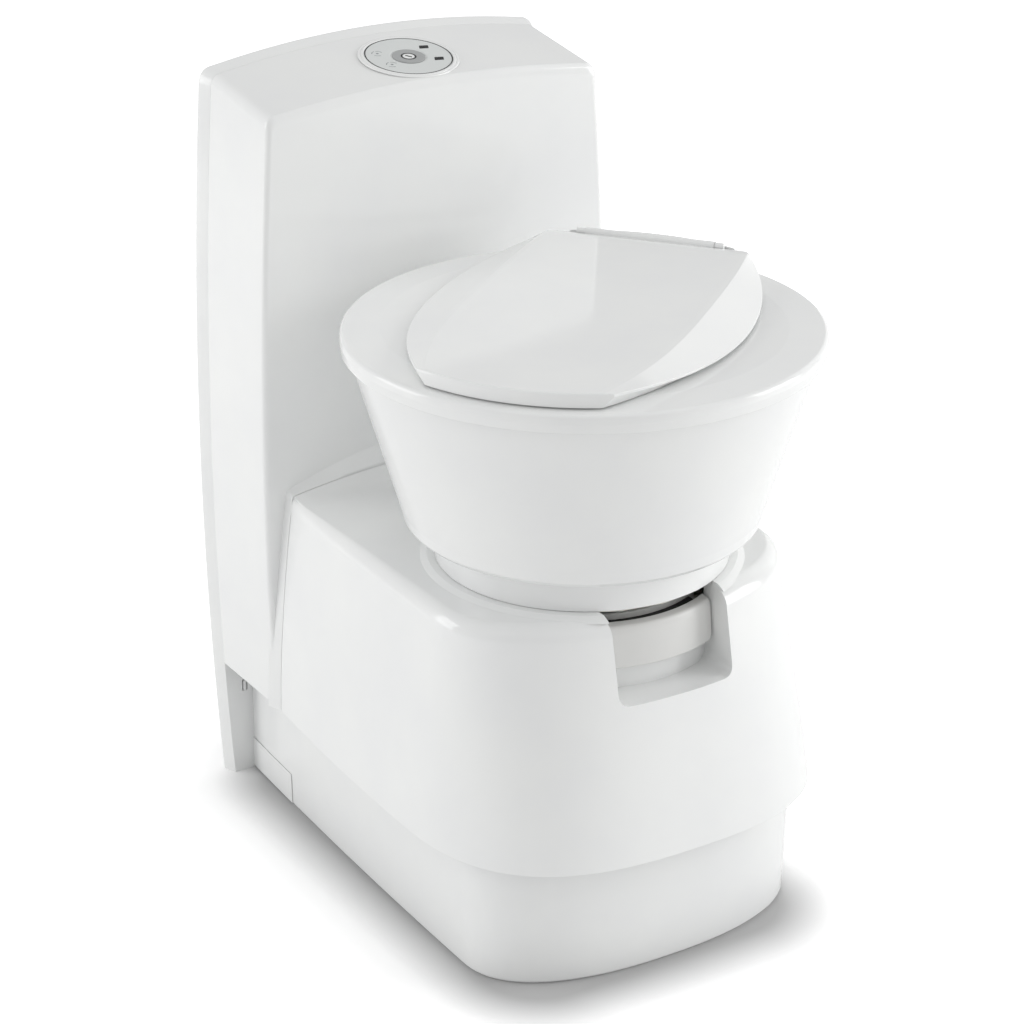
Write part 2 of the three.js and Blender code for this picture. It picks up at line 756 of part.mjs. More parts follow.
// Radius that surely fits inside the faceted bowl at a height.
function bowlInsideRadiusAt(z) {
  const rows = bowlInside();
  const above = rows.findIndex(([, height]) => height > z);
  const [[r0, z0], [r1, z1]] = [rows[above - 1], rows[above]];
  return ease(r0, r1, (z - z0) / (z1 - z0)) * Math.cos(Math.PI / roundSegments);
}

const ceramicTop = () => seatTopHeight - seatThickness - padHeight - seatGap;

// Ceramic bowl: a curved funnel from the rim ledge to the round outlet.
function innerBowl() {
  const z0 = outletFoot + outletNeck;
  const z1 = ceramicTop();
  const r0 = outletRadius;
  const outer = bowlOuterShares.map(([a, b]) => [ease(r0, bowlMouthRadius, a), ease(z0, z1 - rimThickness, b)]);
  const body = turned([
    [0, outletFoot], [r0, outletFoot], ...outer,
    [bowlMouthRadius + rimLedge, z1 - rimThickness], [bowlMouthRadius + rimLedge, z1], [0, z1],
  ], innerSegments);
  const hollow = turned([
    [0, outletFoot - overrun], [r0 - outletWall, outletFoot - overrun], ...bowlInside(), [0, z1 + seatGap],
  ], roundSegments);
  return body.subtract(hollow);
}

function swivelBearing() {
  return turned(ringProfile(bearingInnerRadius + 1, neckRadius - 1,
    deckHeight + seatGap, neckFoot - seatGap), innerSegments);
}

function sprayNozzle() {
  const z = seatTopHeight - seatThickness - bowlWall - nozzleDrop;
  const y = bowlInsideRadiusAt(z - nozzleRadius) - seatGap;
  const head = rodAlongY(nozzleRadius, y - nozzleLength, y, 0, z, fineSegments);
  const tip = nozzleRadius * 0.7;
  return head.add(rod(tip, z - nozzleRadius * 1.5, z, 0, y - nozzleLength / 2, fineSegments));
}

// Seat and lid

function hingeKnuckleAt() {
  return Math.sqrt(seatRadius ** 2 - hingeDistance ** 2) * hingeKnuckleShare;
}

// Inner face of each ear of the hinge cover; the pin ends inside the ears.
function hingeEarAt() {
  return hingeKnuckleAt() + knuckleRadius + runningGap;
}

function hingePinHalf() {
  return hingeEarAt() + hingeEarWidth - hingeEarWall;
}

function seatRing() {
  const crown = seatTopHeight;
  const profile = [
    [seatHoleHalfWidth - overrun * 6, crown - seatThickness], [seatRadius - 6, crown - seatThickness],
    [seatRadius - 3, crown - seatWallHeight], [seatRadius - 0.8, crown - seatWallHeight],
    [seatRadius, crown - seatWallHeight * 0.5], [seatRadius - 2, crown - 1.8],
    [seatRadius - 6, crown], [seatRadius - seatCrownInset, crown + seatCrownRise],
    [seatHoleHalfWidth - overrun * 6, crown - 1.5], [seatHoleHalfWidth - overrun * 6, crown - seatThickness],
  ];
  const hole = new THREE.Shape();
  hole.absellipse(0, -seatHoleForward, seatHoleHalfWidth, seatHoleHalfLength, 0, Math.PI * 2, false, 0);
  const opening = raised(hole, crown - seatThickness * 2, crown + overrun, roundSegments / 2);
  const rearCut = box(
    [-seatRadius, hingeDistance + knuckleRadius, 0],
    [seatRadius, seatRadius + overrun, towerHeight],
  );
  const hollow = turned(ringProfile(seatHollowInner, seatHollowOuter,
    crown - seatWallHeight, crown - seatWall), innerSegments);
  let ring = turned(profile, rimSegments).subtract(hollow).subtract(opening).subtract(rearCut);
  for (const side of [-1, 1]) {
    ring = ring.add(seatEar(side * hingeKnuckleAt()));
  }
  return ring.subtract(hingeBore());
}

function hingeBore() {
  const half = hingePinHalf() + seatGap;
  return rodAlongX(hingePinRadius + seatGap, -half, half, hingeDistance, hingeHeight, fineSegments);
}

function seatEar(x) {
  const half = knuckleRadius;
  const y0 = hingeDistance - knuckleRadius * 3;
  const web = box(
    [x - half, y0, seatTopHeight - seatThickness / 2],
    [x + half, hingeDistance - knuckleRadius * 0.4, hingeHeight - knuckleRadius * 0.4],
  );
  return web.add(rodAlongX(knuckleRadius, x - half, x + half, hingeDistance, hingeHeight, fineSegments));
}

const lidHalfAt = (forward) => {
  const reach = lidSideRadius ** 2 - (forward + lidWidestBack) ** 2;
  return lidHalfWidth - lidSideRadius + Math.sqrt(reach);
};

// Half width of the raised plateau: widest in the middle, drawn in toward hinge and front corners.
function plateauHalfAt(forward) {
  const share = (forward + lidWidestBack) / (lidFront + lidWidestBack);
  const end = lidHalfAt(share < 0 ? -hingeDistance : lidFront);
  const drawn = (lidPlateauHalfWidth - end) * Math.abs(share) ** 2.6;
  return Math.min(lidPlateauHalfWidth - drawn, lidHalfAt(forward) - 1);
}

// Top of the lid: falls a little toward the front and slopes down beside the hinge.
function lidTopAt(forward) {
  const share = (forward + hingeDistance) / (lidFront + hingeDistance);
  const near = Math.max(1 - (forward + hingeDistance) / lidHingeSlope, 0);
  return ease(lidTopRear, lidTopFront, share) - lidHingeDrop * near ** 2;
}

function lidSection(forward) {
  const share = (forward + hingeDistance) / (lidFront + hingeDistance);
  const top = lidTopAt(forward);
  const plateau = plateauHalfAt(forward);
  const edge = Math.max(lidHalfAt(forward), plateau + 0.6);
  const sideTop = Math.min(ease(lidTopRear - 3, lidSideHeight, Math.sin(Math.max(share, 0) * Math.PI)), top - 1.2);
  const half = [
    [0, lidUnderside], [plateau * 0.9, lidUnderside], [edge, sideTop - 2.2],
    [edge, sideTop], [plateau, top - 0.3], [plateau - 5, top], [0, top],
  ];
  const mirrored = half.slice(1, -1).reverse().map(([x, z]) => [-x, z]);
  return [...half, ...mirrored].map(([x, z]) => [x, -forward, z]);
}

// Hollow of the lid, open below, inside its top and side walls.
function lidHollow(forward) {
  const top = lidTopAt(forward) - lidWall;
  const half = plateauHalfAt(forward) - lidWall;
  return [
    [half * 0.9, lidUnderside - 1], [half, top - 1], [0, top], [-half, top - 1], [-half * 0.9, lidUnderside - 1],
  ].map(([x, z]) => [x, -forward, z]);
}

function lid() {
  const back = -hingeDistance - knuckleRadius;
  const webBack = hingeDistance - knuckleRadius - runningGap;
  const slopeEnd = lidHingeSlope - hingeDistance;
  const sections = steps(3).slice(0, -1).map((share) => lidSection(ease(back, slopeEnd, share)));
  sections.push(...steps(10).map((share) => lidSection(ease(slopeEnd, lidFront - 8, share))));
  for (const share of steps(3).slice(1)) {
    sections.push(lidSection(lidFront - 8 * (1 - share)));
  }
  const hollowSections = steps(6).map((share) => lidHollow(ease(lidWall * 5 - webBack, lidFront - lidWall * 5, share)));
  let body = loft(sections, 1).subtract(loft(hollowSections, 1));
  const [frontArc, rearArc] = [lidFront, lidRearRadius].map((radius) => (
    turned(ringProfile(0, radius, lidUnderside - overrun, hingeHeight + overrun * 2), rimSegments)
  ));
  const rearHalf = box([-seatRadius, 0, 0], [seatRadius, -back, towerHeight]);
  body = body.intersect(frontArc.add(rearArc.intersect(rearHalf)));
  const half = hingeKnuckleAt() - knuckleRadius - runningGap;
  const earEnd = hingeEarAt() + hingeEarWidth + runningGap;
  const barrel = rodAlongX(knuckleRadius, -half, half, hingeDistance, hingeHeight, fineSegments);
  const web = box(
    [-half, hingeDistance - knuckleRadius * 2.4, hingeHeight - knuckleRadius * 0.8],
    [half, hingeDistance, hingeHeight],
  );
  const relief = box(
    [-earEnd, hingeDistance - knuckleRadius * 3.6, lidUnderside - 1],
    [-half - seatGap, seatRadius, hingeHeight + knuckleRadius + 1],
  );
  const middle = box(
    [-half - 1, webBack, lidUnderside - 1],
    [half + 1, seatRadius, hingeHeight + knuckleRadius + 1],
  );
  const reliefs = relief.add(relief.mirror([1, 0, 0])).add(middle);
  return body.subtract(reliefs).add(barrel).add(web).subtract(hingeBore());
}

// Fixed cover behind the hinge, a segment of the round rim with two ears that hold the pin.
function hingeCover() {
  const front = hingeDistance + knuckleRadius + runningGap;
  const foot = seatTopHeight - seatThickness - padHeight;
  const disc = turned([
    [0, foot], [seatRadius - 3, foot], [seatRadius, foot + 3], [seatRadius, hingeCoverTop - 4],
    [seatRadius - 1.6, hingeCoverTop - 1], [seatRadius - 4, hingeCoverTop], [0, hingeCoverTop],
  ], rimSegments);
  const keep = box([-seatRadius, front, 0], [seatRadius, seatRadius + overrun, towerHeight]);
  const ear = hingeEarAt();
  let cover = disc.intersect(keep);
  for (const side of [-1, 1]) {
    const [x0, x1] = side < 0 ? [-ear - hingeEarWidth, -ear] : [ear, ear + hingeEarWidth];
    cover = cover.add(box(
      [x0, hingeDistance, hingeHeight - knuckleRadius],
      [x1, front + 1, hingeHeight],
    ));
    cover = cover.add(rodAlongX(knuckleRadius, x0, x1, hingeDistance, hingeHeight, fineSegments));
  }
  return cover.subtract(hingeBore());
}

function hingePin() {
  return rodAlongX(hingePinRadius, -hingePinHalf(), hingePinHalf(), hingeDistance, hingeHeight, fineSegments);
}

function pad(x, y, top) {
  return rod(padRadius, top - padHeight, top, x, y, fineSegments);
}

// Valve drive: rack on the handle, pinion above the valve shaft

function involuteFlank(baseRadius, radius) {
  const roll = Math.sqrt(Math.max((radius / baseRadius) ** 2 - 1, 0));
  return roll - Math.atan(roll);
}

function pinionShape() {
  const base = pinionRadius * Math.cos(pressureAngleDeg * degrees);
  const tip = pinionRadius + gearModule * 0.9;
  const root = pinionRadius - gearModule * 1.2;
  const halfAtPitch = Math.PI / (2 * pinionTeeth) - gearBacklash / (2 * pinionRadius);
  const halfAt = (radius) => halfAtPitch + involuteFlank(base, pinionRadius) - involuteFlank(base, radius);
  const flank = steps(flankSteps).map((share) => ease(base, tip, share));
  const points = [];
  for (let tooth = 0; tooth < pinionTeeth; tooth += 1) {
    const middle = ((tooth + 0.5) * 2 * Math.PI) / pinionTeeth;
    const at = (radius, angle) => points.push(new THREE.Vector2(
      radius * Math.cos(middle + angle), radius * Math.sin(middle + angle)));
    at(root, -halfAt(base));
    flank.forEach((radius) => at(radius, -halfAt(radius)));
    [...flank].reverse().forEach((radius) => at(radius, halfAt(radius)));
    at(root, halfAt(base));
  }
  return new THREE.Shape(points);
}

function drivePinion() {
  const gear = raised(pinionShape(), gearFoot, gearFoot + gearHeight);
  const hub = rod(shaftRadius * 0.8, shaftTop() + seatGap, gearFoot + 1, 0, 0, smallSegments);
  const key = box(
    [-keyWidth / 2, -keyLength / 2, shaftTop() - keyDepth],
    [keyWidth / 2, keyLength / 2, shaftTop() + seatGap * 2],
  ).intersect(rod(shaftRadius * 0.8, outletFoot - overrun * 2, gearFoot, 0, 0, smallSegments));
  const bore = rod(pinRadius + seatGap, shaftTop() + overrun, gearFoot + gearHeight + 1, 0, 0, smallSegments);
  return gear.add(hub).add(key).subtract(bore).translate([pinionX, swivelY, 0]);
}

function shaftTop() {
  return valveCoverTop + overrun;
}

// Plan outline of the rack bar, its toothed stretch, the cross arm and the stem that holds the handle.
function handleRack() {
  const pitch = Math.PI * gearModule;
  const pitchLine = pinionX + pinionRadius;
  const tip = pitchLine - gearModule * 0.9;
  const root = pitchLine + gearModule * 1.2;
  const slope = Math.tan(pressureAngleDeg * degrees) * gearModule;
  const outer = root + rackBar * 0.7;
  const armFront = -armFromSwivel - rackBar;
  const stemFront = -handleInner + seatGap * 4;
  const points = [[outer, armFront], [outer, pitch * (rackTeeth - 1)], [root, pitch * (rackTeeth - 1)]];
  const halfTooth = pitch / 4 - gearBacklash / 2;
  for (let tooth = rackTeeth - 2; tooth >= -1; tooth -= 1) {
    const middle = tooth * pitch;
    points.push([root, middle + halfTooth + slope * 1.2], [tip, middle + halfTooth - slope * 0.9]);
    points.push([tip, middle - halfTooth + slope * 0.9], [root, middle - halfTooth - slope * 1.2]);
  }
  points.push([root, -armFromSwivel], [stemHalfWidth, -armFromSwivel], [-stemHalfWidth, -armFromSwivel]);
  points.push([-stemHalfWidth, stemFront], [stemHalfWidth, stemFront], [stemHalfWidth, armFront]);
  const shape = new THREE.Shape(points.map(([x, y]) => new THREE.Vector2(x, y)));
  return raised(shape, gearFoot, gearFoot + gearHeight).translate([0, swivelY, 0]);
}

const bracketFoot = () => gearFoot + gearHeight + seatGap * 2;

function pinionPin() {
  const head = bracketFoot() + bracketPlate + seatGap;
  return rod(pinRadius, shaftTop() + overrun + seatGap, head + 1, pinionX, swivelY, 20)
    .add(rod(shaftRadius * 0.8, head, head + 2, pinionX, swivelY, smallSegments));
}

// Bracket under the deck that guides the back of the rack and carries the pinion's pin.
function rackGuide() {
  const inside = pinionX + pinionRadius + gearModule * 1.2 + rackBar * 0.7 + seatGap;
  const top = deckHeight - mouldedWall - seatGap;
  const reach = rackBar * 2.5;
  const wall = box([inside, swivelY - reach, gearFoot - 3], [inside + 3, swivelY + reach, top]);
  const shelf = box([inside - rackBar, swivelY - reach, gearFoot - 3],
    [inside + 1, swivelY + reach, gearFoot - seatGap]);
  const plate = box([pinionX - shaftRadius, swivelY - shaftRadius, bracketFoot()],
    [inside + 1, swivelY + shaftRadius, bracketFoot() + bracketPlate]);
  const flange = box([inside + 1, swivelY - reach, top - 3], [inside + reach, swivelY + reach, top]);
  return wall.add(shelf).add(plate).add(flange)
    .subtract(rod(pinRadius + seatGap, gearFoot, top, pinionX, swivelY, smallSegments));
}

function bladeHandle() {
  const ledge = handleFoot + 12;
  const back = ledge - 2;
  const profile = [
    [handleOuterFoot - handleLip, handleFoot], [handleOuterFoot - 2, handleFoot],
    [handleOuterFoot, handleFoot + 2], [handleOuterTop + 1.2, handleTop - 6],
    [handleOuterTop - 1, handleTop - 1.6], [handleOuterTop - 5, handleTop],
    [handleInner, handleTop + 3], [handleInner, back], [handleOuterFoot - handleLip, ledge],
    [handleOuterFoot - handleLip, handleFoot],
  ];
  const round = notchHalfWidth - runningGap;
  const slab = raised(roundedRectangle(-round, handleFoot - 1, round, handleTop + overrun, 9, 3), 0, handleSlabDepth, 4);
  const standing = new THREE.Matrix4().makeRotationX(Math.PI / 2);
  const block = slab.transform(standing.toArray());
  const stemPocket = box(
    [-stemHalfWidth - seatGap, -handleInner - 4, gearFoot - seatGap],
    [stemHalfWidth + seatGap, 0, gearFoot + gearHeight + seatGap],
  );
  return turned(profile, roundSegments).intersect(block).subtract(stemPocket).translate([0, swivelY, 0]);
}

// Waste tank

function tankOutline(inset) {
  return roundedRectangle(-tankHalfWidth + inset, fromWall(tankFront) + inset,
    tankHalfWidth - inset, fromWall(tankRear) - inset, tankFrontRadius - inset, tankCornerRadius / 3 - inset);
}

function wheelY() {
  return fromWall(tankFront) + tankFrontRadius + wheelFromRear;
}

function wasteTank() {
  const body = raised(tankOutline(0), tankFoot, tankTop, 5);
  const inside = raised(tankOutline(tankWall), tankFoot + tankWall, tankTop - tankWall, 3);
  const niche = box(
    [-tankHalfWidth - overrun, fromWall(tankRear + nicheDepth), nicheFloor],
    [-tankHalfWidth + nicheWidth, wallY, tankTop + overrun],
  );
  const nicheSkin = box(
    [-tankHalfWidth - overrun, fromWall(tankRear + nicheDepth + tankWall), nicheFloor - tankWall],
    [-tankHalfWidth + nicheWidth + tankWall, wallY, tankTop + overrun],
  );
  const mouth = rod(valveRadius - valveMargin, tankTop - tankWall * 2, tankTop + 1, 0, swivelY, innerSegments);
  const spoutHole = rod(spoutRadius - spoutWall, nicheFloor - tankWall * 2, nicheFloor + 1,
    spoutX(), spoutY(), smallSegments);
  const vent = rod(ventStem + seatGap, tankTop - tankWall * 2, tankTop + 1, ventX(), ventY(), fineSegments);
  const ventCollar = turned(ringProfile(ventRadius + runningGap, ventRadius + runningGap + tankWall,
    tankTop - 1, tankTop + ventTravel + tankWall), 16, ventX(), ventY());
  let tank = body.subtract(inside.subtract(nicheSkin)).subtract(niche).subtract(mouth);
  tank = tank.subtract(spoutHole).subtract(vent).add(ventCollar);
  for (const side of [-1, 1]) {
    const x0 = side < 0 ? -tankHalfWidth - overrun : tankHalfWidth - wheelWidth - tankWall * 2;
    const x1 = side < 0 ? -tankHalfWidth + wheelWidth + tankWall * 2 : tankHalfWidth + overrun;
    const reach = wheelRadius + tankWall;
    const arch = rodAlongX(reach, x0, x1, wheelY(), wheelRadius + seatGap, smallSegments);
    const archSkin = rodAlongX(reach + tankWall, side < 0 ? x0 : x0 - tankWall,
      side < 0 ? x1 + tankWall : x1, wheelY(), wheelRadius + seatGap, smallSegments);
    tank = tank.add(archSkin.intersect(body)).subtract(arch);
  }
  const tunnel = axleRadius + seatGap;
  const tunnelHalf = tankHalfWidth - wheelWidth - tankWall * 2;
  const tunnelSkin = rodAlongX(tunnel + tankWall, -tunnelHalf, tunnelHalf,
    wheelY(), wheelRadius, fineSegments).intersect(body);
  const tunnelBore = rodAlongX(tunnel, -tankHalfWidth - overrun, tankHalfWidth + overrun,
    wheelY(), wheelRadius, fineSegments);
  tank = tank.add(tunnelSkin).subtract(tunnelBore).add(bailLugs());
  for (const side of [-1, 1]) {
    const x = side * tankHalfWidth * 0.7;
    tank = tank.add(box([x - skidWidth / 2, ventY() - skidLength, runningGap],
      [x + skidWidth / 2, ventY(), tankFoot + 1]));
  }
  return tank;
}

const spoutX = () => -tankHalfWidth + nicheWidth * 0.36;
const spoutY = () => fromWall(tankRear + nicheDepth / 2);
const ventX = () => tankHalfWidth - tankCornerRadius;
const ventY = () => fromWall(tankRear + tankCornerRadius);
const bailX = () => tankHalfWidth * 0.45;
const bailZ = () => tankTop - tankCornerRadius * 1.2;

function bailLugs() {
  const y0 = fromWall(tankRear) - 1;
  const lugs = [-1, 1].map((side) => {
    const x = bailX() + side * (bailHalfWidth + bailRod * 2.4);
    const block = box([x - bailRod, y0, bailZ() - bailRod * 1.6], [x + bailRod, y0 + bailRod * 3, bailZ() + bailRod * 1.6]);
    return block.subtract(rodAlongX(bailRod * 0.6, x - overrun * 2, x + overrun * 2,
      fromWall(tankRear) + bailRod * 1.4, bailZ(), fineSegments));
  });
  return lugs[0].add(lugs[1]);
}

// Push button that lets air into the tank while it is poured out, on a stem through the tank top.
function ventButton() {
  const foot = tankTop + ventTravel + seatGap;
  const top = foot + ventCapHeight;
  return turned([
    [0, tankTop - ventStemLength], [ventStem, tankTop - ventStemLength], [ventStem, foot], [ventRadius, foot],
    [ventRadius, top - ventStem / 2], [ventRadius - ventStem / 2, top], [0, top],
  ], 16, ventX(), ventY());
}

// Grip that hangs from two lugs on the rear face of the tank.
function carryHandle() {
  const y = fromWall(tankRear) + bailRod * 1.4;
  const grip = rodAlongX(bailRod, bailX() - bailHalfWidth, bailX() + bailHalfWidth, y, bailZ() - bailDrop, fineSegments);
  let handle = grip;
  for (const side of [-1, 1]) {
    const x = bailX() + side * (bailHalfWidth - bailRod);
    handle = handle.add(box(
      [x - bailRod, y - bailRod * 0.9, bailZ() - bailDrop],
      [x + bailRod, y + bailRod * 0.9, bailZ()],
    ));
    handle = handle.add(rodAlongX(bailRod * 0.9, x - bailRod, x + bailRod, y, bailZ(), fineSegments));
  }
  const half = bailHalfWidth + bailRod * 3.2;
  return handle.add(rodAlongX(bailRod * 0.6 - seatGap, bailX() - half, bailX() + half, y, bailZ(), fineSegments));
}

// Flat chamber on the tank that houses the swinging blade.
function valveCover() {
  const reach = valveRadius + valveMargin;
  const shape = roundedRectangle(-reach, -reach, pinionX + reach, pinionX + reach, reach / 2, reach / 2);
  const inner = roundedRectangle(-reach + tankWall, -reach + tankWall, pinionX + reach - tankWall,
    pinionX + reach - tankWall, reach / 2 - tankWall, reach / 2 - tankWall);
  const foot = tankTop + seatGap;
  const cover = raised(shape, foot, valveCoverTop, 3)
    .subtract(raised(inner, foot - 1, valveCoverTop - tankWall, 3))
    .subtract(rod(valveRadius - valveMargin, foot, valveCoverTop + 1, 0, 0, innerSegments))
    .subtract(rod(shaftRadius + seatGap, foot, valveCoverTop + 1, pinionX, 0, smallSegments));
  return cover.translate([0, swivelY, 0]);
}

function valveBlade() {
  const disc = rod(valveRadius, bladeFoot, bladeFoot + bladeThickness, 0, 0, innerSegments);
  const arm = box([0, -shaftRadius, bladeFoot], [pinionX, shaftRadius, bladeFoot + bladeThickness]);
  const shaft = rod(shaftRadius, tankTop + seatGap, shaftTop(), pinionX, 0, smallSegments);
  const slot = box(
    [pinionX - keyWidth / 2 - seatGap, -shaftRadius - 1, shaftTop() - keyDepth - seatGap],
    [pinionX + keyWidth / 2 + seatGap, shaftRadius + 1, shaftTop() + 1],
  );
  return disc.add(arm).add(shaft).subtract(slot).translate([0, swivelY, 0]);
}

function mouthSeal() {
  const foot = valveCoverTop + seatGap;
  return turned(ringProfile(valveRadius - valveMargin - 1, outletRadius + outletWall,
    foot, outletFoot - seatGap * 2), innerSegments, 0, swivelY);
}

function spoutPath() {
  const turn = spoutRadius + spoutWall;
  const at = (x, z) => new THREE.Vector3(x, 0, z);
  const path = new THREE.CurvePath();
  path.add(new THREE.LineCurve3(at(0, seatGap), at(0, spoutRise - turn)));
  path.add(new THREE.QuadraticBezierCurve3(at(0, spoutRise - turn), at(0, spoutRise), at(turn, spoutRise)));
  path.add(new THREE.LineCurve3(at(turn, spoutRise), at(spoutReach, spoutRise)));
  return path;
}

function pourSpout() {
  return pipe(spoutPath(), spoutRadius, spoutRadius - spoutWall, 6, 6);
}

function spoutCap() {
  const ribs = new THREE.Shape();
  const ribCount = 12;
  for (let i = 0; i <= ribCount * 2; i += 1) {
    const angle = (i * Math.PI) / ribCount;
    const radius = capRadius - (i % 2) * 1.6;
    const point = [radius * Math.cos(angle), radius * Math.sin(angle)];
    if (i === 0) ribs.moveTo(...point);
    else ribs.lineTo(...point);
  }
  return raised(ribs, -capDepth + spoutWall, spoutWall + seatGap, 1)
    .subtract(rod(spoutRadius + seatGap * 2, -capDepth, seatGap, 0, 0, smallSegments));
}

// Flush water

function flushTank() {
  const inset = mouldedWall + flushClearance;
  const outline = (z, extra) => {
    const half = Math.min(towerHalfWidth(z), towerHalfWidth(flushTop)) - inset - extra;
    return roundedRectangle(-half, fromWall(towerDepth - mouldedWall) + flushClearance + extra,
      half, fromWall(frameDepth) - extra - seatGap, flushFrontRadius - extra, flushRearRadius - extra);
  };
  const body = raised(outline(flushTop, 0), flushFoot, flushTop, 4);
  const inside = raised(outline(flushTop, tankWall), flushFoot + tankWall, flushTop - tankWall, 4);
  const y = fromWall(frameDepth + flushNeckRadius + overrun * 2);
  const x = -towerMidHalfWidth / 2;
  const neck = rod(flushNeckRadius, flushTop - 1, flushTop + flushNeckHeight, x, y, smallSegments);
  const mouth = flushTop + flushNeckHeight + overrun;
  const bore = rod(flushNeckRadius - tankWall, flushTop - tankWall * 2, mouth, x, y, smallSegments);
  return body.subtract(inside).add(neck).subtract(bore);
}

function flushPump() {
  const z = flushFoot + pumpRadius * 0.2;
  const y = fromWall(seamFromWall + pumpRadius + overrun * 2);
  const x = -deckHoleRadius;
  const can = rodAlongX(pumpRadius, x - pumpLength / 2, x + pumpLength / 2, y, z + pumpRadius, smallSegments);
  const top = deckHeight - mouldedWall - seatGap;
  return can.add(box([x - pumpRadius / 2, y - pumpRadius / 2, z + pumpRadius], [x + pumpRadius / 2, y + pumpRadius / 2, top]));
}

// Assembly

const finishes = {
  shell: { color: '#f4f5f4', roughness: 0.18 },
  ceramic: { color: '#fbfbf8', roughness: 0.08 },
  handle: { color: '#d9dad5', roughness: 0.35 },
  panel: { color: '#d6d9d8', roughness: 0.4 },
  button: { color: '#aeb2b1', roughness: 0.45 },
  black: { color: '#1b1c1d', roughness: 0.5 },
  rubber: { color: '#2a2b2c', roughness: 0.8 },
  grey: { color: '#8b9093', roughness: 0.55 },
  steel: { color: '#b9bcc0', roughness: 0.3, metalness: 1 },
  tank: { color: '#5f6569', roughness: 0.5 },
  clear: { color: '#dfe3e4', roughness: 0.35 },
};

function piece(name, body, finish) {
  const mesh = new THREE.Mesh(fromSolid(body), new THREE.MeshStandardMaterial(finishes[finish]));
  mesh.name = name;
  return mesh;
}

const toilet = new THREE.Group();

toilet.add(
  piece('tower_shell', towerShell(), 'shell'),
  piece('rear_frame', rearFrame(), 'shell'),
  piece('base_housing', baseHousing(), 'shell'),
  piece('plinth', plinth(), 'shell'),
  piece('plinth_cover_left', plinthCover(-1), 'shell'),
  piece('plinth_cover_right', plinthCover(1), 'shell'),
  piece('flush_tank', flushTank(), 'clear'),
  piece('flush_pump', flushPump(), 'black'),
  piece('blade_handle', bladeHandle(), 'handle'),
  piece('handle_rack', handleRack(), 'grey'),
  piece('drive_pinion', drivePinion(), 'grey'),
  piece('pinion_pin', pinionPin(), 'steel'),
  piece('rack_guide', rackGuide(), 'grey'),
  piece('waste_tank', wasteTank(), 'tank'),
  piece('valve_cover', valveCover(), 'tank'),
  piece('valve_blade', valveBlade(), 'grey'),
  piece('mouth_seal', mouthSeal(), 'rubber'),
  piece('carry_handle', carryHandle(), 'black'),
);

const panelGroup = new THREE.Group();
panelGroup.position.copy(panel.position);
panelGroup.rotation.copy(panel.rotation);
panelGroup.add(
  piece('panel_bezel', panelBezel(), 'panel'),
  piece('panel_disc', panelDisc(), 'panel'),
  piece('flush_button', flushButton(), 'button'),
  piece('panel_electronics', panelElectronics(), 'black'),
);
lensPlaces().forEach(([x, y], i) => {
  panelGroup.add(piece(`level_lens_${i + 1}`, rod(lensRadius, -discDepth, bezelHeight * 0.7, x, y, fineSegments), 'black'));
});
toilet.add(panelGroup);

const bowl = new THREE.Group();
bowl.position.set(0, swivelY, 0);
bowl.rotation.z = restSwivelDeg * degrees;
bowl.add(
  piece('bowl_skirt', bowlSkirt(), 'shell'),
  piece('inner_bowl', innerBowl(), 'ceramic'),
  piece('spray_nozzle', sprayNozzle(), 'grey'),
  piece('hinge_cover', hingeCover(), 'shell'),
  piece('hinge_pin', hingePin(), 'steel'),
  piece('seat_ring', seatRing(), 'shell'),
  piece('lid', lid(), 'shell'),
);
toilet.add(bowl);

const bearing = piece('swivel_bearing', swivelBearing(), 'grey');
bearing.position.set(0, swivelY, 0);
toilet.add(bearing);

const padTurnShares = [0.12, 0.38, 0.62, 0.88];
padTurnShares.forEach((share, i) => {
  const angle = share * 2 * Math.PI - Math.PI / 2;
  const reach = bowlMouthRadius + rimLedge / 2 + padRadius;
  const top = seatTopHeight - seatThickness - seatGap;
  const body = pad(reach * Math.cos(angle), reach * Math.sin(angle), top);
  bowl.add(piece(`seat_pad_${i + 1}`, body, 'rubber'));
});

const spout = new THREE.Group();
spout.position.set(spoutX(), spoutY(), nicheFloor);
spout.add(piece('pour_spout', pourSpout(), 'black'));
const cap = piece('spout_cap', spoutCap(), 'grey');
cap.position.set(spoutReach + seatGap, 0, spoutRise);
cap.rotation.y = Math.PI / 2;
spout.add(cap);
toilet.add(spout);

toilet.add(piece('vent_button', ventButton(), 'grey'));

const axleHalf = tankHalfWidth - tankWall;
toilet.add(piece('wheel_axle', rodAlongX(axleRadius, -axleHalf, axleHalf, wheelY(), wheelRadius, fineSegments), 'steel'));
for (const [name, side] of [['left', -1], ['right', 1]]) {
  const inner = tankHalfWidth - wheelWidth - tankWall;
  const outerFace = tankHalfWidth - tankWall;
  const [x0, x1] = side < 0 ? [-outerFace, -inner] : [inner, outerFace];
  const rim = turned([
    [axleRadius + seatGap, x0], [wheelRadius - 1.5, x0], [wheelRadius, x0 + 1.5], [wheelRadius, x1 - 1.5],
    [wheelRadius - 1.5, x1], [axleRadius + seatGap, x1], [axleRadius + seatGap, x0],
  ], smallSegments);
  const lying = new THREE.Matrix4().makeRotationY(Math.PI / 2);
  lying.setPosition(0, wheelY(), wheelRadius);
  toilet.add(piece(`wheel_${name}`, rim.transform(lying.toArray()), 'rubber'));
}

export default toilet;
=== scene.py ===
"""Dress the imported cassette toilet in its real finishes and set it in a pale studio."""

import json
import logging
import math
from dataclasses import dataclass, field
from enum import Enum
from typing import Any, Callable, Iterable, Sequence

import bmesh
import bpy
from mathutils import Matrix, Vector

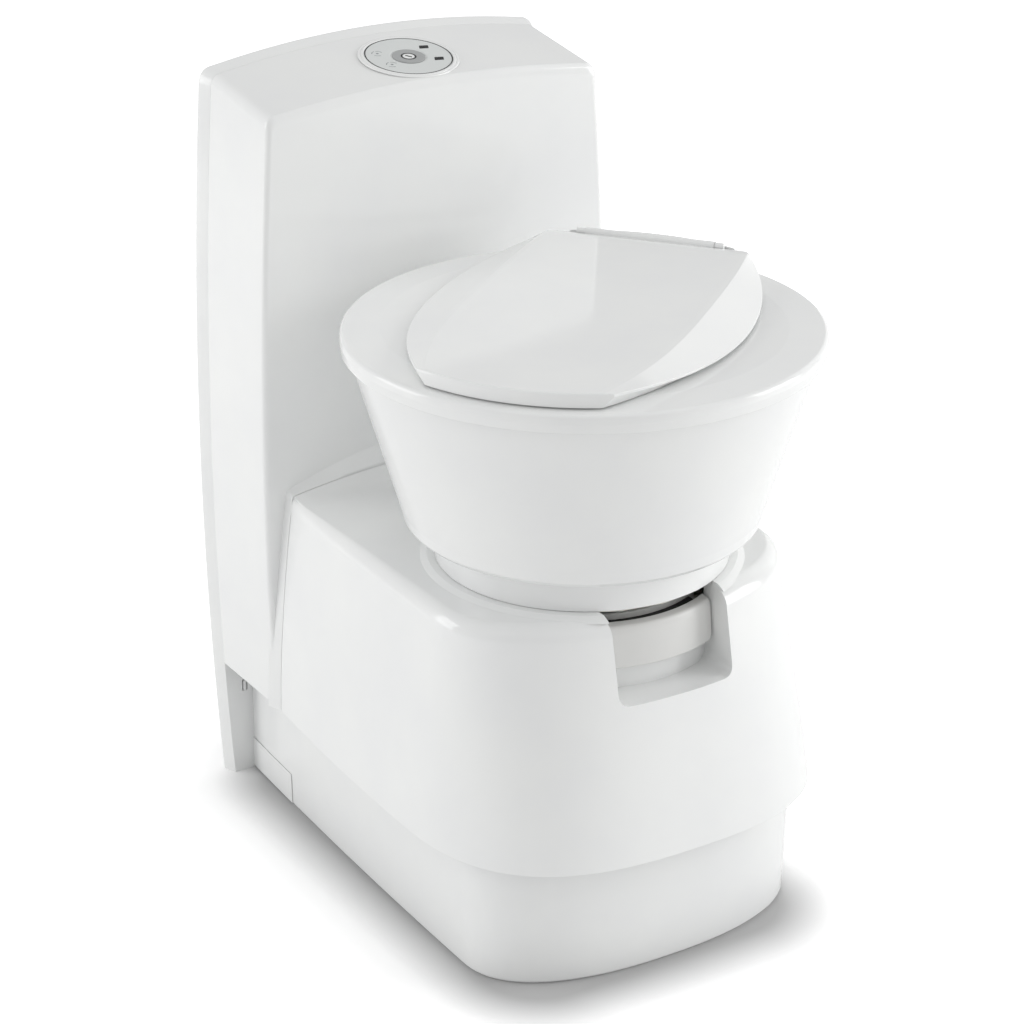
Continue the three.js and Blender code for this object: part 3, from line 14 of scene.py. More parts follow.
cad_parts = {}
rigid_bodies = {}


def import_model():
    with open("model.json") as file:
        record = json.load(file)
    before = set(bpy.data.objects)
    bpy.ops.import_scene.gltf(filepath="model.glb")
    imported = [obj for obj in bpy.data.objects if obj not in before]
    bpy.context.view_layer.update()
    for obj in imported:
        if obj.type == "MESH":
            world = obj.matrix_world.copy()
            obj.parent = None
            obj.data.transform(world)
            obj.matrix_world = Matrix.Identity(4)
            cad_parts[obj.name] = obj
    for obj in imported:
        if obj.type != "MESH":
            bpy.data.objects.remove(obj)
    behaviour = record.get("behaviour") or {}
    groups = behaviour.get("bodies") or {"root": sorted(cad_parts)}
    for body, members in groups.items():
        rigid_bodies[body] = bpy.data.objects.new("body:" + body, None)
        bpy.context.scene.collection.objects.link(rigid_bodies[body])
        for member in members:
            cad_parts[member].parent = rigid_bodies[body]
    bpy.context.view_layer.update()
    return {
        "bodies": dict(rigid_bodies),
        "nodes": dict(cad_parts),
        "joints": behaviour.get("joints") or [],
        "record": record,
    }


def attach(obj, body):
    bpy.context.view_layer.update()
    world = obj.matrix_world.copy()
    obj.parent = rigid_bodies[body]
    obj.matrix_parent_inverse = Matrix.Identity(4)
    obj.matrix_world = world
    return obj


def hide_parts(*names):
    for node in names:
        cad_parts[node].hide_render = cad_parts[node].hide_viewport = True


LOG = logging.getLogger("toilet")
MM = 0.001
Point = tuple[float, float, float]
Ring = list[Point]
Row = tuple[float, float]
Corner = tuple[float, float, float]
Piece = bpy.types.Object
Tree = bpy.types.NodeTree
Socket = bpy.types.NodeSocket


@dataclass(frozen=True)
class Datum:
    """Places, in millimetres, that several sub-assemblies are set out from."""

    wall_y: float = 284.3
    swivel_from_wall: float = 362.0
    seat_radius: float = 206.6
    seat_top: float = 541.0
    seat_thickness: float = 13.0
    seat_skirt: float = 16.0
    deck: float = 331.0
    shoulder_drop: float = 16.0
    skirt_edge: float = 121.0
    wall: float = 3.5
    gap: float = 0.3
    overlap: float = 0.02

    @property
    def shoulder(self) -> float:
        """Return the height at which the sides start to round over to the deck."""
        return self.deck - self.shoulder_drop

    @property
    def swivel_y(self) -> float:
        """Return where the bowl's upright axis stands along Y."""
        return self.from_wall(self.swivel_from_wall)

    @property
    def swivel_place(self) -> Matrix:
        """Return the place of things that are turned about the bowl's axis."""
        return Matrix.Translation(Vector((0.0, self.swivel_y, 0.0)) * MM)

    def from_wall(self, distance: float) -> float:
        """Return the Y of a point at a distance from the wall."""
        return self.wall_y - distance


DATUM = Datum()


def ease(start: float, end: float, share: float) -> float:
    """Return the value a share of the way from start to end."""
    return start + (end - start) * share


def both_sides(half: Sequence[Row]) -> list[Row]:
    """Return an outline's right half followed by its mirror image; the last point lies on the middle."""
    return [*half, *((-across, up) for across, up in reversed(half[:-1]))]


def shares(count: int, first: int = 0) -> list[float]:
    """Return even shares from first/count up to 1."""
    return [index / count for index in range(first, count + 1)]


def in_scene(name: str, data: bpy.types.ID) -> Piece:
    """Put a mesh, a lamp or a camera into the scene as an object."""
    thing = bpy.data.objects.new(name, data)
    bpy.context.scene.collection.objects.link(thing)
    return thing


def object_from(name: str, points: Sequence[Point], faces: Sequence[Sequence[int]]) -> Piece:
    """Make a mesh object from points in millimetres.

    Args:
        name: Name of the piece.
        points: Corners in millimetres.
        faces: Corner numbers of each face.

    Returns:
        The new object, welded, with its faces turned outwards.
    """
    mesh = bpy.data.meshes.new(name)
    mesh.from_pydata([tuple(value * MM for value in point) for point in points], [], faces)
    body = bmesh.new()
    body.from_mesh(mesh)
    bmesh.ops.remove_doubles(body, verts=body.verts, dist=1e-6)
    bmesh.ops.dissolve_degenerate(body, edges=body.edges, dist=1e-7)
    bmesh.ops.recalc_face_normals(body, faces=body.faces)
    body.to_mesh(mesh)
    body.free()
    return in_scene(name, mesh)


def skin(rings: Sequence[Ring], first: int = 0) -> tuple[list[Point], list[list[int]]]:
    """Skin a row of closed outlines that have the same number of points, and cap both ends.

    Args:
        rings: Outlines in order, in millimetres.
        first: Number of the skin's first point in its mesh.

    Returns:
        The points and the faces.
    """
    count = len(rings[0])
    faces: list[list[int]] = []
    for row in range(len(rings) - 1):
        low, high = first + row * count, first + (row + 1) * count
        for index in range(count):
            after = (index + 1) % count
            faces.append([low + index, low + after, high + after, high + index])
    faces.append([first + index for index in range(count)][::-1])
    faces.append([first + (len(rings) - 1) * count + index for index in range(count)])
    return [point for ring in rings for point in ring], faces


def loft(name: str, rings: Sequence[Ring]) -> Piece:
    """Make a solid from a row of closed outlines."""
    return object_from(name, *skin(rings))


def lathe(name: str, profile: Sequence[Row], segments: int = 160, centre: Row = (0.0, 0.0)) -> Piece:
    """Turn a closed profile about an upright axis.

    Args:
        name: Name of the piece.
        profile: Closed row of (radius, height) corners, first corner not repeated; radius zero is on the axis.
        segments: Number of steps round the axis.
        centre: Axis place along X and Y.

    Returns:
        The turned solid.
    """
    points: list[Point] = []
    rows: list[range] = []
    for radius, height in profile:
        count = segments if radius > 0 else 1
        rows.append(range(len(points), len(points) + count))
        for step in range(count):
            angle = 2 * math.pi * step / segments
            points.append((centre[0] + radius * math.sin(angle), centre[1] - radius * math.cos(angle), height))
    faces: list[list[int]] = []
    for low, high in zip(rows, rows[1:] + rows[:1]):
        for step in range(segments):
            after = (step + 1) % segments
            face = [low[step % len(low)], low[after % len(low)],
                    high[after % len(high)], high[step % len(high)]]
            corners = list(dict.fromkeys(face))
            if len(corners) > 2:
                faces.append(corners)
    return object_from(name, points, faces)


def rounded_profile(corners: Sequence[Corner], steps: int = 5) -> list[Row]:
    """Round the corners of a closed outline.

    Args:
        corners: Rows of (across, up, radius); a radius of zero keeps the corner sharp.
        steps: Number of chords in each rounding.

    Returns:
        The outline's points.
    """
    outline: list[Row] = []
    count = len(corners)
    for index, (across, up, radius) in enumerate(corners):
        here = Vector((across, up))
        if radius <= 0:
            outline.append((across, up))
            continue
        before = (Vector(corners[index - 1][:2]) - here)
        after = (Vector(corners[(index + 1) % count][:2]) - here)
        half = before.angle(after) / 2
        reach = min(radius / math.tan(half), before.length * 0.49, after.length * 0.49)
        start, end = here + before.normalized() * reach, here + after.normalized() * reach
        for share in shares(steps):
            along = start.lerp(here, share).lerp(here.lerp(end, share), share)
            outline.append((along.x, along.y))
    return outline


def extruded(name: str, outline: Sequence[Row], low: float, high: float,
             place: Callable[[float, float, float], Point]) -> Piece:
    """Push an outline from one height to another.

    Args:
        name: Name of the piece.
        outline: Closed outline.
        low: Where the push starts.
        high: Where it ends.
        place: Turns (across, up, along) into a point.

    Returns:
        The solid.
    """
    return loft(name, [[place(a, b, level) for a, b in outline] for level in (low, high)])


def circle(radius: float, steps: int, start: float = 0.0, centre: Row = (0.0, 0.0)) -> list[Row]:
    """Return a circle's points, the first one at a start angle in degrees."""
    angles = [math.radians(start) + 2 * math.pi * step / steps for step in range(steps)]
    return [(centre[0] + radius * math.cos(angle), centre[1] + radius * math.sin(angle)) for angle in angles]


def flat(across: float, up: float, level: float) -> Point:
    """Place an outline seen from above."""
    return across, up, level


def block(name: str, low: Point, high: Point) -> Piece:
    """Return a box-shaped cutter or web between two corners in millimetres."""
    outline = [(low[0], low[1]), (high[0], low[1]), (high[0], high[1]), (low[0], high[1])]
    return extruded(name, outline, low[2], high[2], flat)


def bar(name: str, radius: float, start: float, end: float, y: float, z: float) -> Piece:
    """Return a round bar along X."""
    return extruded(name, circle(radius, 40, 0, (y, z)), start, end, lambda a, b, level: (level, a, b))


class Cut(Enum):
    """Ways of joining two solids."""

    REMOVE = "DIFFERENCE"
    ADD = "UNION"
    KEEP = "INTERSECT"


def combine(piece: Piece, other: Piece, how: Cut) -> Piece:
    """Join, cut or trim a solid with another one, which is used up.

    Args:
        piece: The solid that stays.
        other: The solid that is used.
        how: The kind of joining.

    Returns:
        The changed solid.
    """
    modifier = piece.modifiers.new(how.name.lower(), "BOOLEAN")
    modifier.operation = how.value
    modifier.solver = "EXACT"
    modifier.object = other
    settle(piece)
    bpy.data.objects.remove(other, do_unlink=True)
    return piece


def settle(piece: Piece) -> Piece:
    """Bake a piece's modifiers into its mesh and return the piece."""
    bpy.context.view_layer.update()
    graph = bpy.context.evaluated_depsgraph_get()
    mesh = bpy.data.meshes.new_from_object(piece.evaluated_get(graph), depsgraph=graph)
    mesh.name = piece.name
    old = piece.data
    piece.modifiers.clear()
    piece.data = mesh
    bpy.data.meshes.remove(old)
    return piece


def soften(piece: Piece, width: float, chords: int = 2, angle: float = 50.0, smooth: float = 40.0) -> Piece:
    """Round the crisp edges of a piece and shade the rest smoothly.

    Args:
        piece: The piece.
        width: Rounding in millimetres.
        chords: Number of chords in the rounding.
        angle: Edges sharper than this many degrees are rounded.
        smooth: Edges sharper than this many degrees stay crisp in the shading.

    Returns:
        The piece.
    """
    if width > 0:
        bevel = piece.modifiers.new("rounding", "BEVEL")
        bevel.width = width * MM
        bevel.segments = chords
        bevel.limit_method = "ANGLE"
        bevel.angle_limit = math.radians(angle)
        bevel.use_clamp_overlap = True
        bevel.harden_normals = False
        bevel.miter_outer = "MITER_ARC"
        settle(piece)
    for polygon in piece.data.polygons:
        polygon.use_smooth = True
    piece.data.set_sharp_from_angle(angle=math.radians(smooth))
    return piece


PIECE_NODES: dict[str, tuple[str, ...]] = {}


def dressed(piece: Piece, finish: "Finish", body: str, *nodes: str) -> Piece:
    """Shade a piece evenly, give it its finish, carry it with a body and let it stand for CAD nodes.

    Args:
        piece: The piece.
        finish: Its finish.
        body: The body it moves with.
        nodes: The CAD nodes it stands for.

    Returns:
        The piece.
    """
    piece.modifiers.new("flats", "WEIGHTED_NORMAL").keep_sharp = True
    piece.data.materials.clear()
    piece.data.materials.append(finish.material())
    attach(piece, body)
    if nodes:
        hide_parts(*nodes)
        PIECE_NODES[piece.name] = nodes
    return piece


def linear(colour: str) -> tuple[float, float, float, float]:
    """Turn an sRGB hex colour such as "F0F1EF" into linear red, green, blue and alpha."""
    channels = [int(colour[index:index + 2], 16) / 255 for index in (0, 2, 4)]
    straight = [value / 12.92 if value <= 0.04045 else ((value + 0.055) / 1.055) ** 2.4 for value in channels]
    return (straight[0], straight[1], straight[2], 1.0)


def emptied_tree(owner: bpy.types.Material | bpy.types.World) -> Tree:
    """Switch on the nodes of a material or world and return its emptied tree."""
    owner.use_nodes = True
    owner.node_tree.nodes.clear()
    return owner.node_tree


def add_node(tree: Tree, kind: str, settings: dict[Any, Any] | None = None,
             links: dict[Any, Socket] | None = None) -> bpy.types.Node:
    """Add a shader node.

    Args:
        tree: The node tree.
        kind: Type name of the node, without its leading ShaderNode.
        settings: Input values and node properties by name, or by input number.
        links: Output sockets by the input that they feed.

    Returns:
        The new node.
    """
    node = tree.nodes.new("ShaderNode" + kind)
    for key, value in (settings or {}).items():
        if isinstance(key, int) or key in node.inputs:
            node.inputs[key].default_value = value
        else:
            setattr(node, key, value)
    for key, socket in (links or {}).items():
        tree.links.new(socket, node.inputs[key])
    return node


def mapped(tree: Tree, value: Socket, source: Row, target: Row) -> Socket:
    """Stretch a value from its own span to another one and return its socket."""
    spans = {"From Min": source[0], "From Max": source[1], "To Min": target[0], "To Max": target[1]}
    return add_node(tree, "MapRange", spans, {"Value": value}).outputs[0]


class Texture(Enum):
    """How a finish breaks up at the smallest scale."""

    POLISHED = "polished"
    SPARKED = "sparked"
    BRUSHED = "brushed"


@dataclass(frozen=True)
class Finish:
    """A real material and the way that its surface was made.

    Lengths are real ones: wave_mm is the spacing of the slow waviness, grain_mm that of the fine texture,
    patch_mm the size of the slightly lighter and darker patches. Heights are in millimetres too.
    """

    name: str
    slot: str
    colour: str
    patch_colour: str
    roughness: float
    roughness_spread: float = 0.04
    ior: float = 1.5
    metallic: float = 0.0
    coat: float = 0.0
    coat_roughness: float = 0.05
    scatter: float = 0.0
    texture: Texture = Texture.POLISHED
    wave_mm: float = 60.0
    wave_height: float = 0.05
    grain_mm: float = 1.2
    grain_height: float = 0.004
    patch_mm: float = 90.0

    def material(self) -> bpy.types.Material:
        """Return the finish's material, made on first use."""
        known = bpy.data.materials.get(self.name)
        if known:
            return known
        material = bpy.data.materials.new(self.name)
        material.diffuse_color = linear(self.colour)
        tree = emptied_tree(material)
        place = add_node(tree, "TexCoord").outputs["Object"]
        shader = add_node(tree, "BsdfPrincipled", {
            "Metallic": self.metallic, "Coat Weight": self.coat, "Coat Roughness": self.coat_roughness,
            "Subsurface Weight": self.scatter, "Subsurface Scale": 0.004,
        }, {
            "Base Color": self.tint(tree, place),
            "Roughness": self.gloss(tree, place),
            "Normal": self.relief(tree, place),
        })
        if self.metallic == 0:
            shader.inputs["IOR"].default_value = self.ior
        add_node(tree, "OutputMaterial", links={"Surface": shader.outputs[0]})
        return material

    @staticmethod
    def noise(tree: Tree, place: Socket, spacing: float, detail: float, **settings: float) -> Socket:
        """Add a noise with a spacing in millimetres and return its socket."""
        return add_node(tree, "TexNoise", {"Scale": 1 / (spacing * MM), "Detail": detail, **settings},
                        {"Vector": place}).outputs[0]

    def tint(self, tree: Tree, place: Socket) -> Socket:
        """Mix the colour with its patch colour in soft patches and return the result's socket."""
        spread = mapped(tree, self.noise(tree, place, self.patch_mm, 3.0, Roughness=0.55),
                        (0.35, 0.7), (0.0, 1.0))
        colours = {"data_type": "RGBA", 6: linear(self.colour), 7: linear(self.patch_colour)}
        return add_node(tree, "Mix", colours, {0: spread}).outputs[2]

    def gloss(self, tree: Tree, place: Socket) -> Socket:
        """Vary the roughness a little, as handling and cleaning do, and return its socket."""
        return mapped(tree, self.noise(tree, place, self.patch_mm * 0.35, 4.0), (0.3, 0.7),
                      (self.roughness, self.roughness + self.roughness_spread))

    def relief(self, tree: Tree, place: Socket) -> Socket:
        """Add the slow waviness and the fine texture as bumps and return the normal's socket."""
        slow = add_node(tree, "Bump", {"Strength": 1.0, "Distance": self.wave_height * MM},
                        {"Height": self.noise(tree, place, self.wave_mm, 1.0)})
        if self.texture is Texture.BRUSHED:
            stretch = add_node(tree, "Mapping", {"Scale": (1.0, 1.0, 0.04)}, {"Vector": place})
            grain = self.noise(tree, stretch.outputs[0], self.grain_mm, 2.0)
        elif self.texture is Texture.SPARKED:
            grain = add_node(tree, "TexVoronoi",
                             {"feature": "SMOOTH_F1", "Scale": 1 / (self.grain_mm * MM), "Smoothness": 0.6},
                             {"Vector": place}).outputs[0]
        else:
            grain = self.noise(tree, place, self.grain_mm, 1.0)
        return add_node(tree, "Bump", {"Strength": 1.0, "Distance": self.grain_height * MM},
                        {"Height": grain, "Normal": slow.outputs[0]}).outputs[0]


# Injection-moulded ABS from a polished tool: a clear, slightly wavy gloss with faint sink marks.
WHITE_ABS = Finish("white_abs_polished_mould", "white_moulding", "EDEEED", "EAEBEB", 0.08, 0.03, 1.53,
                   wave_mm=70, wave_height=0.06, grain_mm=2.5, grain_height=0.002)
# Glazed sanitary ceramic: a deep wet gloss over a softly pooled glaze.
GLAZED_CERAMIC = Finish("sanitary_ceramic_glazed", "bowl_glaze", "F1F2F0", "EDEFEE", 0.1, 0.03, 1.52, coat=0.6,
                        coat_roughness=0.03, wave_mm=26, wave_height=0.05,
                        grain_mm=4, grain_height=0.002)
# Polypropylene from a satin tool: a warm light grey that spreads the highlights.
GREY_PP = Finish("warm_grey_pp_satin_mould", "handle_grey", "DADAD8", "D5D5D3", 0.34, 0.04, 1.49,
                 texture=Texture.SPARKED, grain_mm=0.7, grain_height=0.01)
# Printed polycarbonate film: even pale grey with a fine velvet texture.
PANEL_FILM = Finish("polycarbonate_film_velvet", "panel_grey", "D9DCDB", "D6D9D8", 0.38, 0.06, 1.58,
                    texture=Texture.SPARKED, wave_height=0.01, grain_mm=0.5, grain_height=0.006)
# Silicone-coated key cap: mid grey, dull and slightly soft to the eye.
KEY_GREY = Finish("key_cap_grey_satin", "button_grey", "AAACAC", "A4A6A6", 0.42, 0.06, 1.5,
                  texture=Texture.SPARKED, wave_height=0.01, grain_mm=0.5, grain_height=0.006)
# Black ABS: deep and glossy, as behind an indicator window or on a tyre rim.
BLACK_ABS = Finish("black_abs_moulded", "black_plastic", "151617", "1B1C1D", 0.24, 0.08, 1.53,
                   grain_mm=0.8, grain_height=0.006)
# Natural acetal: the slightly waxy off-white of gears and racks.
ACETAL = Finish("acetal_moulded", "mechanism_grey", "CFCEC7", "C7C6BF", 0.36, 0.08, 1.48, scatter=0.08,
                texture=Texture.SPARKED, grain_mm=0.8, grain_height=0.01)
# Blow-moulded polyethylene: dull, wavy and a little orange-peeled.
GREY_HDPE = Finish("grey_hdpe_blow_moulded", "tank_grey", "8F9396", "878B8E", 0.42, 0.12, 1.54,
                   wave_mm=45, wave_height=0.25, grain_mm=2.2, grain_height=0.03)
# Natural rotomoulded polyethylene: milky and slightly see-through.
NATURAL_PE = Finish("natural_pe_rotomoulded", "water_tank", "DDE3E4", "D2DADC", 0.44, 0.1, 1.51, scatter=0.3,
                    wave_mm=50, wave_height=0.3, grain_mm=3.0, grain_height=0.03)
# Moulded nitrile rubber: near black and matt with a faint bloom.
BLACK_RUBBER = Finish("nitrile_rubber_moulded", "rubber_black", "1C1C1D", "262627", 0.68, 0.12, 1.52,
                      texture=Texture.SPARKED, grain_mm=0.6, grain_height=0.015)
# Ground stainless steel: bright with fine lines along the bar.
GROUND_STEEL = Finish("stainless_steel_ground", "pin_steel", "C6C8CA", "BCBEC0", 0.26, 0.1, metallic=1.0,
                      texture=Texture.BRUSHED, wave_height=0.0, grain_mm=0.35, grain_height=0.01)
# Screen-printed ink: black, thin and semi-matt.
BLACK_INK = Finish("screen_ink_black", "black_plastic", "1D1E1F", "242526", 0.45, 0.05, 1.5, grain_mm=0.4,
                   grain_height=0.003)
# Screen-printed ink: white, thin and semi-matt.
WHITE_INK = Finish("screen_ink_white", "white_moulding", "EEEFEE", "E8E9E8", 0.45, 0.05, 1.5, grain_mm=0.4,
                   grain_height=0.003)
# Screen-printed ink: mid grey for icons and outlines.
GREY_INK = Finish("screen_ink_grey", "button_grey", "8C9092", "94989A", 0.45, 0.05, 1.5, grain_mm=0.4,
                  grain_height=0.003)


@dataclass
class Tower:
    """Upright water tower: an arched shell with a stub down to the deck, and the frame behind it."""

    height: float = 715.5
    depth: float = 121.0
    mid_half: float = 184.8
    foot_half: float = 173.3
    widest: float = 326.0
    top_fall: float = 19.0
    crown_rear: float = 15.5
    crown_front: float = 12.0
    corner: float = 11.0
    front_round: float = 5.0
    top_round: float = 9.0
    frame_depth: float = 14.0
    frame_flare: float = 5.0
    frame_width: float = 19.0
    frame_lip: float = 2.0
    pocket_depth: float = 9.0
    frame_rim: float = 3.0
    leg_inner: float = 151.7
    leg_top: float = 122.0
    slot_at: float = 159.5
    slot_width: float = 6.0
    slot_foot: float = 86.0
    slot_height: float = 12.0
    stub_length: float = 9.0
    stub_top_half: float = 162.0
    stub_foot_half: float = 183.5
    rise_middle: float = 36.5
    rise_edge: float = 5.5
    seam_top_half: float = 164.0
    seam_foot_half: float = 180.4
    seam_round: float = 4.0
    ramp: float = 34.0
    ramp_run: float = 0.9
    ramp_curl: float = 2.15
    seam_power: float = 1.6
    least_corner: float = 5.0
    corner_turn: float = 82.0
    bend_depth: float = 40.0
    stub_steps: tuple[float, ...] = (-6.0, 0.0, 0.4, 1.0, 1.8, 3.0, 4.5, 6.0, 7.5, 9.0)
    clip_set_in: float = 0.5
    over: float = 5.0

    @property
    def seam(self) -> float:
        """Return how far the seam with the base housing is from the wall."""
        return self.depth + self.stub_length

    def half_width(self, z: float) -> float:
        """Return the shell's half width at a height."""
        return self.mid_half - (self.mid_half - self.foot_half) / self.widest ** 2 * (z - self.widest) ** 2

    def top_at(self, x: float, distance: float) -> float:
        """Return the height of the crowned, forward-falling top."""
        share = distance / self.depth
        crown = ease(self.crown_rear, self.crown_front, share)
        return self.height - self.top_fall * share - crown * (x / self.half_width(self.height)) ** 2

    def ring(self, distance: float, foot: float, side: float, top: float) -> Ring:
        """Return the arch outline at a distance from the wall.

        Args:
            distance: Distance from the wall.
            foot: Height where the arch stops.
            side: How far its sides are set in.
            top: How far its top is set down.

        Returns:
            The outline from the right foot over the top to the left foot.
        """
        radius = max(self.corner - side / 2, self.least_corner)
        corner_x = self.half_width(self.height - self.crown_rear) - side
        corner_z = self.top_at(corner_x - radius, distance) - top - radius
        half: list[Row] = []
        for share in shares(20):
            z = ease(foot, corner_z, share)
            fit = (corner_x - (self.half_width(corner_z) - side)) * share
            half.append((self.half_width(z) - side + fit, z))
        for share in shares(10, 1):
            angle = math.radians(self.corner_turn * share)
            half.append((corner_x - radius + radius * math.cos(angle), corner_z + radius * math.sin(angle)))
        for share in shares(22, 1):
            x = (corner_x - radius) * (1 - share)
            half.append((x, self.top_at(x, distance) - top))
        return [(x, DATUM.from_wall(distance), z) for x, z in both_sides(half)]

    def arch(self, name: str, inset: float, rear: float, foot: float) -> Piece:
        """Skin the arched body with its rounded front edge, set in by a distance."""
        rings = [self.ring(rear, foot, inset, inset),
                 self.ring(self.depth - self.bend_depth, foot, inset, inset)]
        for share in shares(9):
            angle = share * math.pi / 2
            distance = self.depth - inset - self.front_round * (1 - math.sin(angle))
            drop = 1 - math.cos(angle)
            rings.append(self.ring(distance, foot, inset + self.front_round * drop,
                                   inset + self.top_round * drop))
        return loft(name, rings)

    def junction(self, x: float) -> float:
        """Return the height at which the ramp leaves the tower front."""
        return DATUM.deck + ease(self.rise_middle, self.rise_edge, (x / self.stub_top_half) ** 2)

    def ramp_at(self, x: float, distance: float) -> float:
        """Return the ramp's height: upright against the tower, running out flat on the deck."""
        share = min(max((distance - self.depth) / self.ramp, 0.0), 1.0)
        return DATUM.deck + (self.junction(x) - DATUM.deck) * (1 - share ** self.ramp_run) ** self.ramp_curl

    def seam_half(self, z: float) -> float:
        """Return the half width along the seam at a height."""
        share = max((z - DATUM.skirt_edge) / (DATUM.shoulder - DATUM.skirt_edge), 0.0)
        return ease(self.seam_foot_half, self.seam_top_half, share ** self.seam_power)

    def stub_ring(self, distance: float, inset: float, foot: float) -> Ring:
        """Return the outline of the stub between the tower front and the seam."""
        share = (distance - self.depth) / self.stub_length
        shoulder = DATUM.deck - self.seam_round
        half: list[Row] = []
        for step in shares(18):
            z = ease(foot, shoulder, step)
            up = max((z - DATUM.skirt_edge) / (shoulder - DATUM.skirt_edge), 0.0)
            at_tower = ease(self.stub_foot_half, self.seam_top_half, up ** self.seam_power)
            half.append((ease(at_tower, self.seam_half(z), share) - inset, z))
        start, end_x = half[-1], self.seam_top_half - self.seam_round
        end_z = self.ramp_at(end_x, distance) - inset
        for step in shares(6, 1):
            ease_in = 1 - (1 - step) ** 2
            half.append((ease(start[0], end_x - inset, step ** 2), ease(start[1], end_z, ease_in)))
        for step in shares(22, 1):
            x = end_x * (1 - step)
            half.append((x - inset * (1 - step), self.ramp_at(x, distance) - inset))
        return [(x, DATUM.from_wall(distance), z) for x, z in both_sides(half)]

    def build_shell(self) -> Piece:
        """Build the shell: arch and stub joined, hollow and open below."""
        shell = self.arch("tower_shell_moulding", 0.0, self.frame_depth + DATUM.gap, DATUM.skirt_edge)
        stub = loft("stub", [self.stub_ring(self.depth + step, 0.0, DATUM.skirt_edge)
                             for step in self.stub_steps])
        combine(shell, stub, Cut.ADD)
        hollow = self.arch("hollow", DATUM.wall, 0.0, DATUM.skirt_edge - self.over)
        combine(shell, hollow, Cut.REMOVE)
        inside = loft("stub_inside", [
            self.stub_ring(self.depth + step, DATUM.wall, DATUM.skirt_edge - self.over)
            for step in (-8.0, 0.0, 4.0, 9.0 + self.over)])
        combine(shell, inside, Cut.REMOVE)
        return soften(shell, 0.6, smooth=44)

    def build_frame(self) -> Piece:
        """Build the flared rear frame with its pocket and the slots in its legs."""
        frame = loft("rear_frame_moulding", [
            self.ring(self.frame_depth, 0, 0, 0),
            self.ring(self.frame_depth / 2, 0, -self.frame_flare * 0.6, -self.frame_lip * 0.6),
            self.ring(self.frame_lip, 0, -self.frame_flare, -self.frame_lip),
            self.ring(0, 0, -self.frame_flare, -self.frame_lip)])
        width, rim, over = self.frame_width, self.frame_rim, self.over
        combine(frame, loft("bay", [self.ring(self.frame_depth + over, -over, width, width),
                                    self.ring(-over, -over, width, width)]), Cut.REMOVE)
        pocket = loft("pocket", [self.ring(self.pocket_depth, rim, rim, rim), self.ring(-over, rim, rim, rim)])
        inner = width - rim
        combine(pocket, loft("core", [self.ring(self.pocket_depth + 1, -over, inner, inner),
                                      self.ring(-over - 1, -over, inner, inner)]), Cut.REMOVE)
        combine(frame, pocket, Cut.REMOVE)
        front, back = DATUM.from_wall(self.frame_depth), DATUM.from_wall(self.frame_lip)
        for side in (-1, 1):
            edges = sorted((side * self.leg_inner, side * (self.foot_half - rim)))
            combine(frame, block("leg", (edges[0], front, 0.0), (edges[1], back, self.leg_top)), Cut.ADD)
            x, half = side * self.slot_at, self.slot_width / 2
            low, high = self.slot_foot, self.slot_foot + self.slot_height
            combine(frame, block("slot", (x - half, front - over, low), (x + half, back + over, high)),
                    Cut.REMOVE)
            combine(frame, block("clip", (x - half / 2, front + self.clip_set_in, low - 1),
                                 (x + half / 2, back, high - 2)), Cut.ADD)
        return soften(frame, 0.6)

    def build(self) -> list[Piece]:
        """Build and dress the shell and the frame."""
        return [dressed(self.build_shell(), WHITE_ABS, "stand", "tower_shell"),
                dressed(self.build_frame(), WHITE_ABS, "stand", "rear_frame")]


